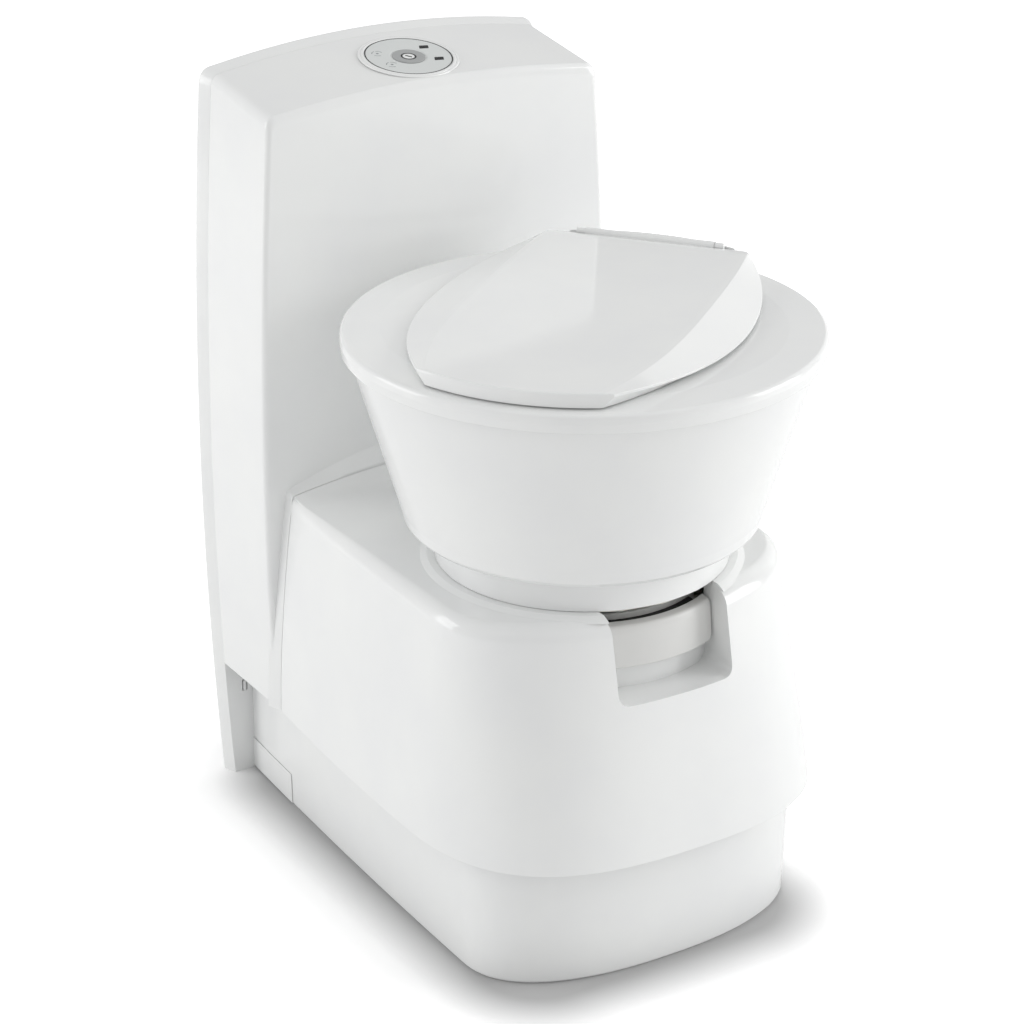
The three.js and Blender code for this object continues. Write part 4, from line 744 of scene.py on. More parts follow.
@dataclass
class Housing:
    """Low housing in front of the tower: flared sides, a flat deck, the ramp's foot and the handle notch."""

    tower: Tower
    top_half: float = 169.5
    foot_half: float = 191.0
    top_front: float = 504.0
    foot_front: float = 540.7
    corner_top: float = 395.0
    corner_foot: float = 371.0
    fillet: float = 19.0
    power_top: float = 2.12
    power_foot: float = 2.7
    hole: float = 112.0
    neck: float = 127.35
    collar: float = 138.0
    collar_height: float = 2.6
    notch_half: float = 58.0
    notch_floor: float = 258.0
    notch_corner: float = 11.0
    notch_back: float = 121.0
    notch_upper: float = 279.0
    seam_groove: float = 0.8
    seam_fillet: float = 4.0
    side_fillet: float = 13.3
    flare_power: float = 1.35
    ramp_root: float = 2.45
    collar_root: float = 1.7
    drum_over: float = 9.0
    over: float = 5.0

    @staticmethod
    def plan(z: float, rear: float, rear_half: float, half: float, corner: float, front: float,
             power: float, sides: int = 8, corners: int = 30) -> Ring:
        """Return a plan outline: bowed sides and a superellipse round the front.

        Args:
            z: Height of the outline.
            rear: Distance of its open end from the wall.
            rear_half: Half width there.
            half: Half width where the front corner starts.
            corner: Distance of that place.
            front: Distance of the foremost point.
            power: Squareness of the front.
            sides: Steps along a side.
            corners: Steps round a corner.

        Returns:
            The outline from the right rear to the left rear.
        """
        right: list[Row] = []
        for share in shares(sides)[:-1]:
            right.append((half - (half - rear_half) * (1 - share) ** 2, ease(rear, corner, share)))
        for share in shares(corners):
            angle = share * math.pi / 2
            right.append((half * max(math.cos(angle), 0.0) ** (2 / power),
                          corner + (front - corner) * math.sin(angle) ** (2 / power)))
        return [(x, DATUM.from_wall(distance), z) for x, distance in both_sides(right)]

    def level(self, z: float, inset: float, rear: float, lift: float = 0.0) -> Ring:
        """Return the housing's outline at a height, set in by a distance."""
        shoulder = DATUM.shoulder
        share = max(min((z - DATUM.skirt_edge) / (shoulder - DATUM.skirt_edge), 1.0), 0.0)
        over = min(max((z - shoulder) / DATUM.shoulder_drop, 0.0), 1.0)
        round_off = 1 - math.sqrt(max(1 - over * over, 0.0))
        return self.plan(
            z + lift, rear,
            self.tower.seam_half(min(z, shoulder)) - self.seam_fillet * round_off - inset,
            ease(self.foot_half, self.top_half, share ** self.flare_power)
            - self.side_fillet * round_off - inset,
            ease(self.corner_foot, self.corner_top, share),
            ease(self.foot_front, self.top_front, share) - self.fillet * round_off - inset,
            ease(self.power_foot, self.power_top, share))

    def body(self, name: str, inset: float, rear: float, foot: float) -> Piece:
        """Skin the housing's closed outer form, set in by a distance."""
        shoulder = DATUM.shoulder
        rings = [self.level(ease(foot, shoulder, share), inset, rear, -inset * share) for share in shares(12)]
        rings += [self.level(shoulder + DATUM.shoulder_drop * math.sin(share * math.pi / 2), inset, rear,
                             -inset)
                  for share in shares(9, 1)]
        return loft(name, rings)

    def notch(self, margin: float) -> Piece:
        """Return the notch's block, seen from the front, grown by a margin."""
        half, foot = self.notch_half + margin, self.notch_floor - margin
        radius = self.notch_corner + margin
        top = DATUM.deck + self.over
        outline = rounded_profile([(-half, top, 0), (-half, foot, radius), (half, foot, radius),
                                   (half, top, 0)], 10)
        reach = self.foot_front + self.over - DATUM.swivel_from_wall
        return extruded("notch", outline, 0, -reach, lambda a, b, level: (a, DATUM.swivel_y + level, b))

    def drum(self, radius: float, low: float, high: float) -> Piece:
        """Return a round plug on the swivel axis."""
        return extruded("drum", circle(radius, 160, -90, (0.0, DATUM.swivel_y)), low, high, flat)

    def build_shell(self) -> Piece:
        """Build the housing with its ramp, collar, notch and deck hole."""
        rear = self.tower.seam + self.seam_groove
        shell = self.body("base_housing_moulding", 0.0, rear, DATUM.skirt_edge)
        half = self.tower.seam_top_half - self.seam_fillet
        foot = DATUM.deck - self.ramp_root
        rings = []
        for share in shares(18):
            distance = ease(rear, self.tower.depth + self.tower.ramp, share)
            top = [(half * (1 - part * 2), DATUM.from_wall(distance),
                    self.tower.ramp_at(half * (1 - part * 2), distance) + DATUM.overlap) for part in shares(44)]
            rings.append([(half, DATUM.from_wall(distance), foot), *top,
                          (-half, DATUM.from_wall(distance), foot)])
        inner = self.drum(self.notch_back - DATUM.wall, 0, DATUM.deck + self.drum_over)
        pocket = combine(self.notch(DATUM.wall), inner, Cut.REMOVE)
        hollow = self.body("hollow", DATUM.wall, rear - self.over, DATUM.skirt_edge - self.over)
        combine(shell, combine(hollow, pocket, Cut.REMOVE), Cut.REMOVE)
        combine(shell, loft("ramp", rings), Cut.ADD)
        root = DATUM.deck - self.collar_root
        collar = [(self.neck, root, 0), (self.collar + 5.2, root, 0),
                  (self.collar + 3.4, DATUM.deck + DATUM.overlap, 1.2),
                  (self.collar - 2.6, DATUM.deck + self.collar_height, 1.6),
                  (self.neck, DATUM.deck + self.collar_height, 0.8)]
        combine(shell, lathe("collar", rounded_profile(collar, 4), 160, (0.0, DATUM.swivel_y)), Cut.ADD)
        opening = combine(self.notch(0.0), self.drum(self.notch_back, 0, self.notch_upper), Cut.REMOVE)
        combine(shell, opening, Cut.REMOVE)
        combine(shell, self.drum(self.hole, DATUM.shoulder, DATUM.deck + self.drum_over), Cut.REMOVE)
        return soften(shell, 1.1, 3)

    def build(self) -> list[Piece]:
        """Build and dress the housing."""
        return [dressed(self.build_shell(), WHITE_ABS, "stand", "base_housing")]


@dataclass
class Plinth:
    """Upright wall set back under the housing, with a flange on top and a cover plate on each side."""

    housing: Housing
    rear_half: float = 151.0
    half: float = 163.6
    front: float = 513.4
    corner: float = 428.0
    rear: float = 2.0
    draft: float = 4.0
    power: float = 2.34
    tuck: float = 18.0
    flange: float = 3.0
    over: float = 5.0
    foot_inset: float = 2.0
    foot_height: float = 2.2
    cover_rear: float = 13.0
    cover_length: float = 88.0
    cover_height: float = 33.0
    cover_proud: float = 0.5
    cover_round: float = 0.25
    first_turn: float = 5.0

    def ring(self, z: float, inset: float, rear: float) -> Ring:
        """Return the plinth's outline at a height."""
        grow = self.draft * z / DATUM.skirt_edge
        return Housing.plan(z, rear, self.rear_half - inset, self.half + grow - inset, self.corner,
                            self.front + grow - inset, self.power, 10, 30)

    def build(self) -> list[Piece]:
        """Build and dress the plinth."""
        top = DATUM.skirt_edge + self.tuck
        wall = loft("plinth_moulding", [
            self.ring(0, self.foot_inset, self.rear), self.ring(self.foot_height, self.foot_inset, self.rear),
            self.ring(self.foot_height, 0, self.rear), self.ring(top, 0, self.rear)])
        rear = self.housing.tower.seam + DATUM.gap
        inset = DATUM.wall + DATUM.gap * 3
        combine(wall, loft("flange", [self.housing.level(top - self.flange, inset, rear),
                                      self.housing.level(top, inset, rear)]), Cut.ADD)
        combine(wall, loft("hollow", [self.ring(-self.over, DATUM.wall, self.rear - self.over),
                                      self.ring(top + self.over, DATUM.wall, self.rear - self.over)]),
                Cut.REMOVE)
        return [dressed(soften(wall, 0.6), WHITE_ABS, "stand", "plinth"),
                *(dressed(self.build_cover(side), WHITE_ABS, "stand", node)
                  for side, node in ((-1, "plinth_cover_left"), (1, "plinth_cover_right")))]

    def side_at(self, z: float, distance: float) -> float:
        """Return how far the wall's side stands from the middle."""
        half = self.half + self.draft * z / DATUM.skirt_edge
        return half - (half - self.rear_half) * (1 - distance / self.corner) ** 2

    def cover_section(self, side: int, distance: float, rounding: float) -> Ring:
        """Return a cover plate's section across the toilet, with its outer corners rounded."""
        low, high, near = self.foot_height, self.cover_height, DATUM.gap
        far = near + self.cover_proud - self.cover_round + rounding
        corners = [(self.side_at(z, distance) + out, z, radius) for out, z, radius in (
            (near, low, 0), (far, low, rounding), (far, high, rounding), (near, high, 0))]
        return [(side * x, DATUM.from_wall(distance), z) for x, z in rounded_profile(corners, 3)]

    def build_cover(self, side: int) -> Piece:
        """Build one low cover plate, almost flush, beside the wall."""
        radius, length = self.cover_round, self.cover_length
        turns = [math.radians(ease(self.first_turn, 90, share)) for share in shares(3)]
        edge = [(radius * (1 - math.cos(turn)), radius * math.sin(turn)) for turn in turns]
        places = [*edge, *((length * share, radius) for share in shares(8, 1)[:-1]),
                  *((length - depth, rounding) for depth, rounding in reversed(edge))]
        rings = [self.cover_section(side, self.cover_rear + depth, rounding) for depth, rounding in places]
        return soften(loft("plinth_cover_plate", rings), 0)


@dataclass
class Panel:
    """Round control panel on the sloping top: bezel, film disc, flush key, two windows, the print and a black
    ink ring painted as the shade in the gap round the disc.
    """

    tower: Tower
    from_wall: float = 71.0
    bezel: float = 46.0
    disc: float = 40.0
    key: float = 15.0
    running: float = 0.8
    bezel_height: float = 1.6
    depth: float = 5.0
    key_rise: float = 1.2
    ink: float = 0.06
    film_share: float = 0.6
    window_across: float = 0.58
    window_along: Row = (0.33, -0.36)
    painted_gap_shade_line: float = 1.0
    sign_ground: float = 5.6
    sign_ring: float = 6.3
    sign_line: float = 1.6
    sign_bar: float = 2.0
    sign_rise: float = 0.04
    icon_places: tuple[Row, ...] = ((-24.0, 14.6), (-23.5, -11.4))
    icon_starts: tuple[int, ...] = (10, 100, 210)
    icon_radius: float = 5.0
    icon_sweep: float = 70.0
    icon_line: float = 0.7
    icon_dot: float = 1.3

    def place(self) -> Matrix:
        """Return the panel's place, tilted with the tower's top."""
        rise = (self.tower.top_at(0, self.from_wall - 1) - self.tower.top_at(0, self.from_wall + 1)) / 2
        where = Vector((0.0, DATUM.from_wall(self.from_wall), self.tower.top_at(0, self.from_wall))) * MM
        return Matrix.Translation(where) @ Matrix.Rotation(math.atan(rise), 4, "X")

    def turned(self, name: str, corners: Sequence[Corner], finish: Finish, body: str, node: str) -> Piece:
        """Turn a rounded profile about the panel's axis, then place and dress it."""
        piece = soften(lathe(name, rounded_profile(corners, 4), 144), 0)
        piece.data.transform(self.place())
        return dressed(piece, finish, body, node)

    def printed(self, name: str, outlines: Sequence[Sequence[Row]], height: float, finish: Finish,
                body: str) -> Piece:
        """Print flat shapes as a thin layer of ink at a height on the panel."""
        points: list[Point] = []
        faces: list[list[int]] = []
        for outline in outlines:
            rings = [[(x, y, level) for x, y in outline] for level in (height, height + self.ink)]
            spots, sides = skin(rings, len(points))
            points += spots
            faces += sides
        piece = object_from(name, points, faces)
        piece.data.transform(self.place())
        return dressed(piece, finish, body)

    @staticmethod
    def stroke(path: Sequence[Row], width: float) -> list[Row]:
        """Return the outline of a line of even width along a path."""
        left: list[Row] = []
        right: list[Row] = []
        for index, (x, y) in enumerate(path):
            before, after = path[max(index - 1, 0)], path[min(index + 1, len(path) - 1)]
            along = Vector((after[0] - before[0], after[1] - before[1])).normalized() * width / 2
            left.append((x - along.y, y + along.x))
            right.append((x + along.y, y - along.x))
        return left + right[::-1]

    @staticmethod
    def arc(centre: Row, radius: float, start: float, end: float, steps: int = 24) -> list[Row]:
        """Return points along an arc between two angles in degrees."""
        return [(centre[0] + radius * math.cos(math.radians(ease(start, end, share))),
                 centre[1] + radius * math.sin(math.radians(ease(start, end, share))))
                for share in shares(steps)]

    def ring_halves(self, radius: float, width: float, centre: Row = (0.0, 0.0)) -> list[list[Row]]:
        """Return a ring as two strokes that meet."""
        return [self.stroke(self.arc(centre, radius, 0, 180, 48), width),
                self.stroke(self.arc(centre, radius, 180, 360, 48), width)]

    def window(self, x: float, y: float) -> list[Row]:
        """Return the slanted outline of an indicator window."""
        return rounded_profile([(x - 5.6, y - 2.2, 0.8), (x + 3.0, y - 4.0, 0.8), (x + 5.6, y + 2.0, 0.8),
                                (x - 2.6, y + 4.0, 0.8)], 3)

    def build(self) -> list[Piece]:
        """Build and dress the panel."""
        top = self.bezel_height
        face = top * self.film_share
        bezel = self.turned("panel_bezel_ring", [
            (self.disc + 0.3, -self.depth, 0), (self.bezel - 3, -self.depth, 0), (self.bezel - 3, 0.0, 0),
            (self.bezel, 0.0, 0.0), (self.bezel - 0.4, top * 0.55, 0.5), (self.bezel - 2.2, top * 0.7, 0.3),
            (self.bezel - 2.6, top * 0.35, 0.2), (self.bezel - 3.0, top * 0.75, 0.3),
            (self.disc + 1.4, top, 0.5), (self.disc + 0.3, top * 0.7, 0.3)], WHITE_ABS, "stand", "panel_bezel")
        disc = self.turned("panel_film_disc", [
            (self.key + self.running, -self.depth, 0), (self.disc, -self.depth, 0), (self.disc, face, 0.3),
            (self.key + self.running * 3, face, 0.8), (self.key + self.running, top * 0.2, 0.4)],
            PANEL_FILM, "stand", "panel_disc")
        rise = self.key_rise
        key = self.turned("flush_key_cap", [
            (0.0, -self.depth * 1.4, 0), (self.key / 2, -self.depth * 1.4, 0),
            (self.key / 2, -self.depth * 0.6, 0), (self.key, -self.depth * 0.6, 0), (self.key, rise, 0.9),
            (self.key * 0.46, rise * self.film_share, 3.0),
            (0.0, rise * self.film_share, 0)], KEY_GREY, "button", "flush_button")
        cap = rise * self.film_share
        frames = [self.window(self.disc * self.window_across, self.disc * along) for along in self.window_along]
        # Painted shade: a black ink ring at the film's edge stands in for the shadow in the gap between disc
        # and bezel.
        rim = self.ring_halves(self.disc - 0.7, self.painted_gap_shade_line)
        slash = self.stroke([(-1.9, 2.7), (1.9, -2.7)], self.sign_bar)
        sign = self.ring_halves(self.sign_ring, self.sign_line) + [slash]
        ground = self.arc((0.0, 0.0), self.sign_ground, 0, 355, 48)
        icons = []
        for spot in self.icon_places:
            icons += [self.stroke(self.arc(spot, self.icon_radius, start, start + self.icon_sweep, 12),
                                  self.icon_line)
                      for start in self.icon_starts]
            icons.append(self.arc(spot, self.icon_dot, 0, 345, 16))
        return [bezel, disc, key,
                self.printed("window_frames", frames, face, BLACK_INK, "stand"),
                self.printed("film_painted_gap_shade", rim, face, BLACK_INK, "stand"),
                self.printed("key_sign_ground", [ground], cap, WHITE_INK, "button"),
                self.printed("key_sign_line", sign, cap + self.sign_rise, BLACK_INK, "button"),
                self.printed("film_marks", icons, face, GREY_INK, "stand")]


def smooth_rows(rows: Sequence[Row], steps: int = 8) -> list[Row]:
    """Run a smooth curve through rows of (radius, height)."""
    points = [Vector(row) for row in rows]
    curve: list[Row] = []
    for index in range(len(points) - 1):
        p0, p1 = points[max(index - 1, 0)], points[index]
        p2, p3 = points[index + 1], points[min(index + 2, len(points) - 1)]
        for share in shares(steps)[:-1]:
            t, t2, t3 = share, share ** 2, share ** 3
            spot = 0.5 * (2 * p1 + (p2 - p0) * t + (2 * p0 - 5 * p1 + 4 * p2 - p3) * t2
                          + (3 * p1 - p0 - 3 * p2 + p3) * t3)
            curve.append((spot.x, spot.y))
    return curve + [tuple(points[-1])]


@dataclass
class Bowl:
    """Swivelling round bowl: conical skirt, ceramic inlay and the hinge cover at its rear rim."""

    rest_turn: float = -360 / 7
    neck: float = 127.0
    bearing: float = 114.0
    foot: float = 333.6
    lip: float = 334.0
    lip_width: float = 1.6
    neck_top: float = 360.0
    skirt_foot: float = 366.6
    skirt_foot_radius: float = 150.5
    skirt_top_radius: float = 199.0
    edge_grow: float = 1.0
    cover_foot_drop: float = 15.4
    above_all: float = 700.0
    wall: float = 3.0
    outlet: float = 50.0
    outlet_foot: float = 264.0
    mouth: float = 176.0
    ceramic: float = 6.0
    pad_height: float = 2.4
    ledge: float = 18.0
    ledge_thickness: float = 4.0
    hinge_from_axis: float = 187.0
    hinge_height: float = 557.0
    knuckle: float = 3.4
    knuckle_share: float = 0.64
    ear_width: float = 8.0
    ear_wall: float = 2.0
    pin: float = 1.9
    running: float = 0.8
    cover_top: float = 556.5

    @property
    def ceramic_top(self) -> float:
        """Return the height of the ceramic rim."""
        return DATUM.seat_top - DATUM.seat_thickness - self.pad_height - DATUM.gap

    @property
    def knuckle_at(self) -> float:
        """Return the seat knuckles' place along the hinge line across the round rim."""
        return math.sqrt(DATUM.seat_radius ** 2 - self.hinge_from_axis ** 2) * self.knuckle_share

    @property
    def ear_at(self) -> float:
        """Return the inner face of the cover's ears, in which the pin ends."""
        return self.knuckle_at + self.knuckle + self.running

    def place(self) -> Matrix:
        """Return the bowl's place: on the swivel axis, turned as it stands at rest."""
        return DATUM.swivel_place @ Matrix.Rotation(math.radians(self.rest_turn), 4, "Z")

    def settled(self, piece: Piece, finish: Finish, body: str, *nodes: str) -> Piece:
        """Turn a finished piece into place and dress it."""
        piece.data.transform(self.place())
        return dressed(piece, finish, body, *nodes)

    def hinge_bar(self, name: str, radius: float, start: float, end: float) -> Piece:
        """Return a round bar on the hinge line."""
        return bar(name, radius, start, end, self.hinge_from_axis, self.hinge_height)

    def bore(self) -> Piece:
        """Return the bore for the hinge pin, closed at both ends inside the ears."""
        half = self.ear_at + self.ear_width - self.ear_wall + DATUM.gap
        return self.hinge_bar("bore", self.pin + DATUM.gap, -half, half)

    def build_skirt(self) -> Piece:
        """Turn the skirt with its ledged foot and the shelf under the ceramic rim."""
        top = DATUM.seat_top - DATUM.seat_skirt - DATUM.gap * 2
        shelf = self.ceramic_top - self.ledge_thickness - DATUM.gap
        edge = self.skirt_top_radius + self.edge_grow
        radius = self.skirt_foot_radius
        corners = [
            (self.bearing, self.foot, 0), (self.neck, self.foot, 0.6), (self.neck, self.lip, 0),
            (self.neck + self.lip_width, self.lip, 0.2), (self.neck + self.lip_width, self.neck_top - 2, 3.5),
            (radius - 8, self.skirt_foot - 3, 5), (radius - 1, self.skirt_foot, 3.5),
            (radius + 4.5, self.skirt_foot + 5, 5), (radius + 7, self.skirt_foot + 15, 8),
            (edge, top, 1.0), (edge - self.wall, top, 0.8), (edge - self.wall, shelf, 0),
            (self.mouth + 9, shelf, 0.6),
            (self.mouth + 9, shelf - 3, 0.6), (edge - self.wall - 5, shelf - 3, 0.6),
            (radius + 2.5, self.skirt_foot + 10, 4), (self.neck - self.wall, self.neck_top + 3, 2),
            (self.neck - self.wall, self.foot + self.wall, 1), (self.bearing, self.foot + self.wall, 0.6)]
        return soften(lathe("bowl_skirt_moulding", rounded_profile(corners, 5), 192), 0, smooth=34)

    def build_ceramic(self) -> Piece:
        """Turn the glazed inlay: a funnel with a rounded rim and a straight outlet."""
        steps = ((0, 0), (0.3, 0.1), (0.5, 0.26), (0.68, 0.5), (0.86, 0.8), (1, 1))
        inside = [(ease(self.outlet - 4, self.mouth - self.ceramic, out),
                   ease(self.outlet_foot + 42, self.ceramic_top - 2.2, up)) for out, up in steps]
        outside = [(ease(self.outlet, self.mouth, out),
                    ease(self.outlet_foot + 36, self.ceramic_top - self.ledge_thickness, up))
                   for out, up in steps]
        rim = self.mouth + self.ledge
        profile = [(self.outlet - 4, self.outlet_foot), *smooth_rows(inside, 7)]
        profile += rounded_profile([(self.mouth - self.ceramic + 1.2, self.ceramic_top - 0.4, 1.2),
                                    (self.mouth - self.ceramic + 5, self.ceramic_top, 3),
                                    (rim, self.ceramic_top, 1.2),
                                    (rim, self.ceramic_top - self.ledge_thickness, 1.2)], 4)
        profile += [*smooth_rows(outside, 7)[::-1], (self.outlet, self.outlet_foot)]
        return soften(lathe("bowl_ceramic_inlay", profile, 192), 0, smooth=34)

    def build_cover(self) -> Piece:
        """Build the fixed cover behind the hinge, with the two ears that hold the pin."""
        front = self.hinge_from_axis + self.knuckle + self.running
        foot, rim, top = DATUM.seat_top - self.cover_foot_drop, DATUM.seat_radius, self.cover_top
        disc = [(0.0, foot, 0), (rim - 1, foot, 2.5), (rim, foot + 4, 3), (rim, top, 3.6), (0.0, top, 0)]
        cover = lathe("hinge_cover_moulding", rounded_profile(disc, 5), 224)
        combine(cover, block("front", (-rim, front, 0.0), (rim, rim + 5, self.above_all)), Cut.KEEP)
        near, far = self.ear_at, self.ear_at + self.ear_width
        for low, high in ((-far, -near), (near, far)):
            combine(cover, block("lug", (low, self.hinge_from_axis, self.hinge_height - self.knuckle),
                                 (high, front + 1, self.hinge_height - 0.6)), Cut.ADD)
            combine(cover, self.hinge_bar("ear", self.knuckle, low, high), Cut.ADD)
        combine(cover, self.bore(), Cut.REMOVE)
        return soften(cover, 0.7, 3)

    def build(self) -> list[Piece]:
        """Build and dress the bowl's pieces."""
        return [self.settled(self.build_skirt(), WHITE_ABS, "bowl", "bowl_skirt"),
                self.settled(self.build_ceramic(), GLAZED_CERAMIC, "bowl", "inner_bowl"),
                self.settled(self.build_cover(), WHITE_ABS, "bowl", "hinge_cover")]


@dataclass
class SeatAndLid:
    """Round seat ring with an oval hole, and the lid with its raised, lens-sided plateau."""

    bowl: Bowl
    hole_half_width: float = 108.0
    hole_half_length: float = 132.0
    hole_forward: float = 8.0
    hollow_inner: float = 142.0
    hollow_outer: float = 196.0
    seat_wall: float = 4.0
    front: float = 195.0
    rear_radius: float = 205.6
    side_radius: float = 333.0
    half: float = 140.0
    widest_back: float = 10.0
    plateau: float = 101.0
    top_front: float = 555.0
    top_rear: float = 559.0
    hinge_drop: float = 3.5
    hinge_slope: float = 20.0
    side_height: float = 547.0
    underside: float = 543.0
    lid_wall: float = 3.2
    hood_radius: float = 4.1
    trim_low: float = 500.0
    trim_high: float = 566.0
    crown_inset: float = 34.0
    crown_rise: float = 1.4
    blank_hole: float = 78.0
    plateau_power: float = 2.6

    def build_seat(self) -> Piece:
        """Build the seat ring: rounded rim, oval hole, hollow underside and hinge knuckles."""
        crown, rim = DATUM.seat_top, DATUM.seat_radius
        low = crown - DATUM.seat_thickness
        profile = [
            (self.blank_hole, low, 0), (rim - 6, low, 1), (rim - 3, crown - DATUM.seat_skirt, 0.8),
            (rim - 0.8, crown - DATUM.seat_skirt, 0.7), (rim, crown - DATUM.seat_skirt / 2, 4),
            (rim - 0.9, crown - 0.4, 4.6), (rim - self.crown_inset, crown + self.crown_rise, 30),
            (self.blank_hole, crown - 1.5, 0)]
        ring = lathe("seat_ring_moulding", rounded_profile(profile, 7), 224)
        hollow = [(self.hollow_inner, crown - DATUM.seat_skirt, 0),
                  (self.hollow_outer, crown - DATUM.seat_skirt, 0),
                  (self.hollow_outer, crown - self.seat_wall, 2),
                  (self.hollow_inner, crown - self.seat_wall, 2)]
        combine(ring, lathe("hollow", rounded_profile(hollow, 3), 160), Cut.REMOVE)
        oval = [(self.hole_half_width * across, self.hole_half_length * along - self.hole_forward)
                for across, along in circle(1.0, 160)]
        combine(ring, extruded("hole", oval, crown - 30, crown + 5, flat), Cut.REMOVE)
        axis, knuckle = self.bowl.hinge_from_axis, self.bowl.knuckle
        combine(ring, block("rear", (-rim, axis + knuckle, 0.0), (rim, rim + 5, self.bowl.above_all)),
                Cut.REMOVE)
        for side in (-1, 1):
            x = side * self.bowl.knuckle_at
            combine(ring, block("web", (x - knuckle, axis - knuckle * 3, crown - DATUM.seat_thickness / 2),
                                (x + knuckle, axis - knuckle * 0.4, self.bowl.hinge_height - knuckle * 0.4)),
                    Cut.ADD)
            combine(ring, self.bowl.hinge_bar("knuckle", knuckle, x - knuckle, x + knuckle), Cut.ADD)
        combine(ring, self.bowl.bore(), Cut.REMOVE)
        return soften(ring, 1.3, 4)

    def lens_half(self, forward: float) -> float:
        """Return the lid's half width at a distance in front of the axis."""
        reach = max(self.side_radius ** 2 - (forward + self.widest_back) ** 2, 0.0)
        return self.half - self.side_radius + math.sqrt(reach)

    def plateau_half(self, forward: float) -> float:
        """Return the raised plateau's half width, widest in the middle."""
        share = (forward + self.widest_back) / (self.front + self.widest_back)
        end = self.lens_half(-self.bowl.hinge_from_axis if share < 0 else self.front)
        return min(self.plateau - (self.plateau - end) * abs(share) ** self.plateau_power,
                   self.lens_half(forward) - 1)

    def top_at(self, forward: float) -> float:
        """Return the plateau's height: falling to the front and sloping down beside the hinge."""
        axis = self.bowl.hinge_from_axis
        near = max(1 - (forward + axis) / self.hinge_slope, 0.0)
        return (ease(self.top_rear, self.top_front, (forward + axis) / (self.front + axis))
                - self.hinge_drop * near ** 2)

    def section(self, forward: float) -> Ring:
        """Return the lid's outer section across the toilet at a distance in front of the axis."""
        axis = self.bowl.hinge_from_axis
        share = (forward + axis) / (self.front + axis)
        top, plateau = self.top_at(forward), self.plateau_half(forward)
        edge = max(self.lens_half(forward), plateau + 0.6)
        side = min(ease(self.top_rear - 3, self.side_height, math.sin(max(share, 0.0) * math.pi)), top - 1.2)
        half = [(edge * 0.93, self.underside, 0.8), (edge, side - 2.2, 0.8), (edge, side, 0.7),
                (plateau, top - 0.15, 3.0), (plateau - 5, top, 2.0)]
        corners = half + [(-x, z, radius) for x, z, radius in reversed(half)]
        return [(x, -forward, z) for x, z in rounded_profile(corners, 4)]

    def hollow(self, forward: float) -> Ring:
        """Return the section of the lid's hollow underside."""
        top, half = self.top_at(forward) - self.lid_wall, self.plateau_half(forward) - self.lid_wall
        return [(x, -forward, z) for x, z in (
            (half * 0.9, self.underside - 1), (half, top - 1), (0.0, top), (-half, top - 1),
            (-half * 0.9, self.underside - 1))]

    def hood(self, barrel_half: float) -> Piece:
        """Return the half sleeve that carries the lid's bead over the seat's knuckles, up to the ears."""
        axis, height = self.bowl.hinge_from_axis, self.bowl.hinge_height
        half = self.bowl.ear_at - DATUM.gap
        hood = self.bowl.hinge_bar("hood", self.hood_radius, -half, half)
        for low, high in ((-half - 1, -barrel_half - DATUM.gap), (barrel_half + DATUM.gap, half + 1)):
            combine(hood, self.bowl.hinge_bar("room", self.bowl.knuckle + DATUM.gap, low, high), Cut.REMOVE)
        foot = height - self.bowl.knuckle * 0.2
        combine(hood, block("foot", (-half - 1, axis - 9, height - 9), (half + 1, axis + 9, foot)), Cut.REMOVE)
        return hood

    def build_lid(self) -> Piece:
        """Build the lid: lofted, trimmed to the round front, hollow below, with its hinge barrel and bead."""
        axis, knuckle, height = self.bowl.hinge_from_axis, self.bowl.knuckle, self.bowl.hinge_height
        back, web_back = -axis - knuckle, axis - knuckle - self.bowl.running
        spots = [ease(back, self.hinge_slope - axis, share) for share in shares(12)]
        spots += [ease(self.hinge_slope - axis, self.front + 0.5, share) for share in shares(56, 1)]
        lid = loft("lid_moulding", [self.section(spot) for spot in spots])
        low, high, rear = self.trim_low, self.trim_high, self.rear_radius
        trim = [(0.0, low, 0), (self.front, low, 0), (self.front, self.top_front + 0.35, 3.2), (0.0, high, 0)]
        rim = lathe("rear_trim", [(0.0, low), (rear, low), (rear, high), (0.0, high)], 224)
        combine(rim, block("rear_half", (-rear, 0.0, low - 10), (rear, -back + 1, high + 4)), Cut.KEEP)
        combine(rim, lathe("trim", rounded_profile(trim, 6), 224), Cut.ADD)
        combine(lid, rim, Cut.KEEP)
        inner = [ease(self.lid_wall * 5 - web_back, self.front - self.lid_wall * 5, share)
                 for share in shares(24)]
        combine(lid, loft("hollow", [self.hollow(spot) for spot in inner]), Cut.REMOVE)
        ear = self.bowl.knuckle_at - knuckle - self.bowl.running
        reach = self.bowl.ear_at + self.bowl.ear_width + self.bowl.running
        combine(lid, block("hinge_room", (-reach, web_back, self.underside - 1),
                           (reach, DATUM.seat_radius, height + knuckle + 1)), Cut.REMOVE)
        for side in (-1, 1):
            x, half = side * self.bowl.knuckle_at, knuckle + self.bowl.running
            combine(lid, block("web_room", (x - half, axis - knuckle * 3.3, self.underside - 1),
                               (x + half, web_back + 1, height - knuckle * 0.3)), Cut.REMOVE)
        combine(lid, block("web", (-ear, axis - knuckle * 2.4, height - knuckle * 0.8),
                           (ear, axis, height - DATUM.overlap)), Cut.ADD)
        combine(lid, self.bowl.hinge_bar("barrel", knuckle, -ear, ear), Cut.ADD)
        combine(lid, self.hood(ear), Cut.ADD)
        combine(lid, self.bowl.bore(), Cut.REMOVE)
        return soften(lid, 0, smooth=38)

    def build(self) -> list[Piece]:
        """Build and dress the seat and the lid."""
        return [self.bowl.settled(self.build_seat(), WHITE_ABS, "seat", "seat_ring"),
                self.bowl.settled(self.build_lid(), WHITE_ABS, "lid", "lid")]


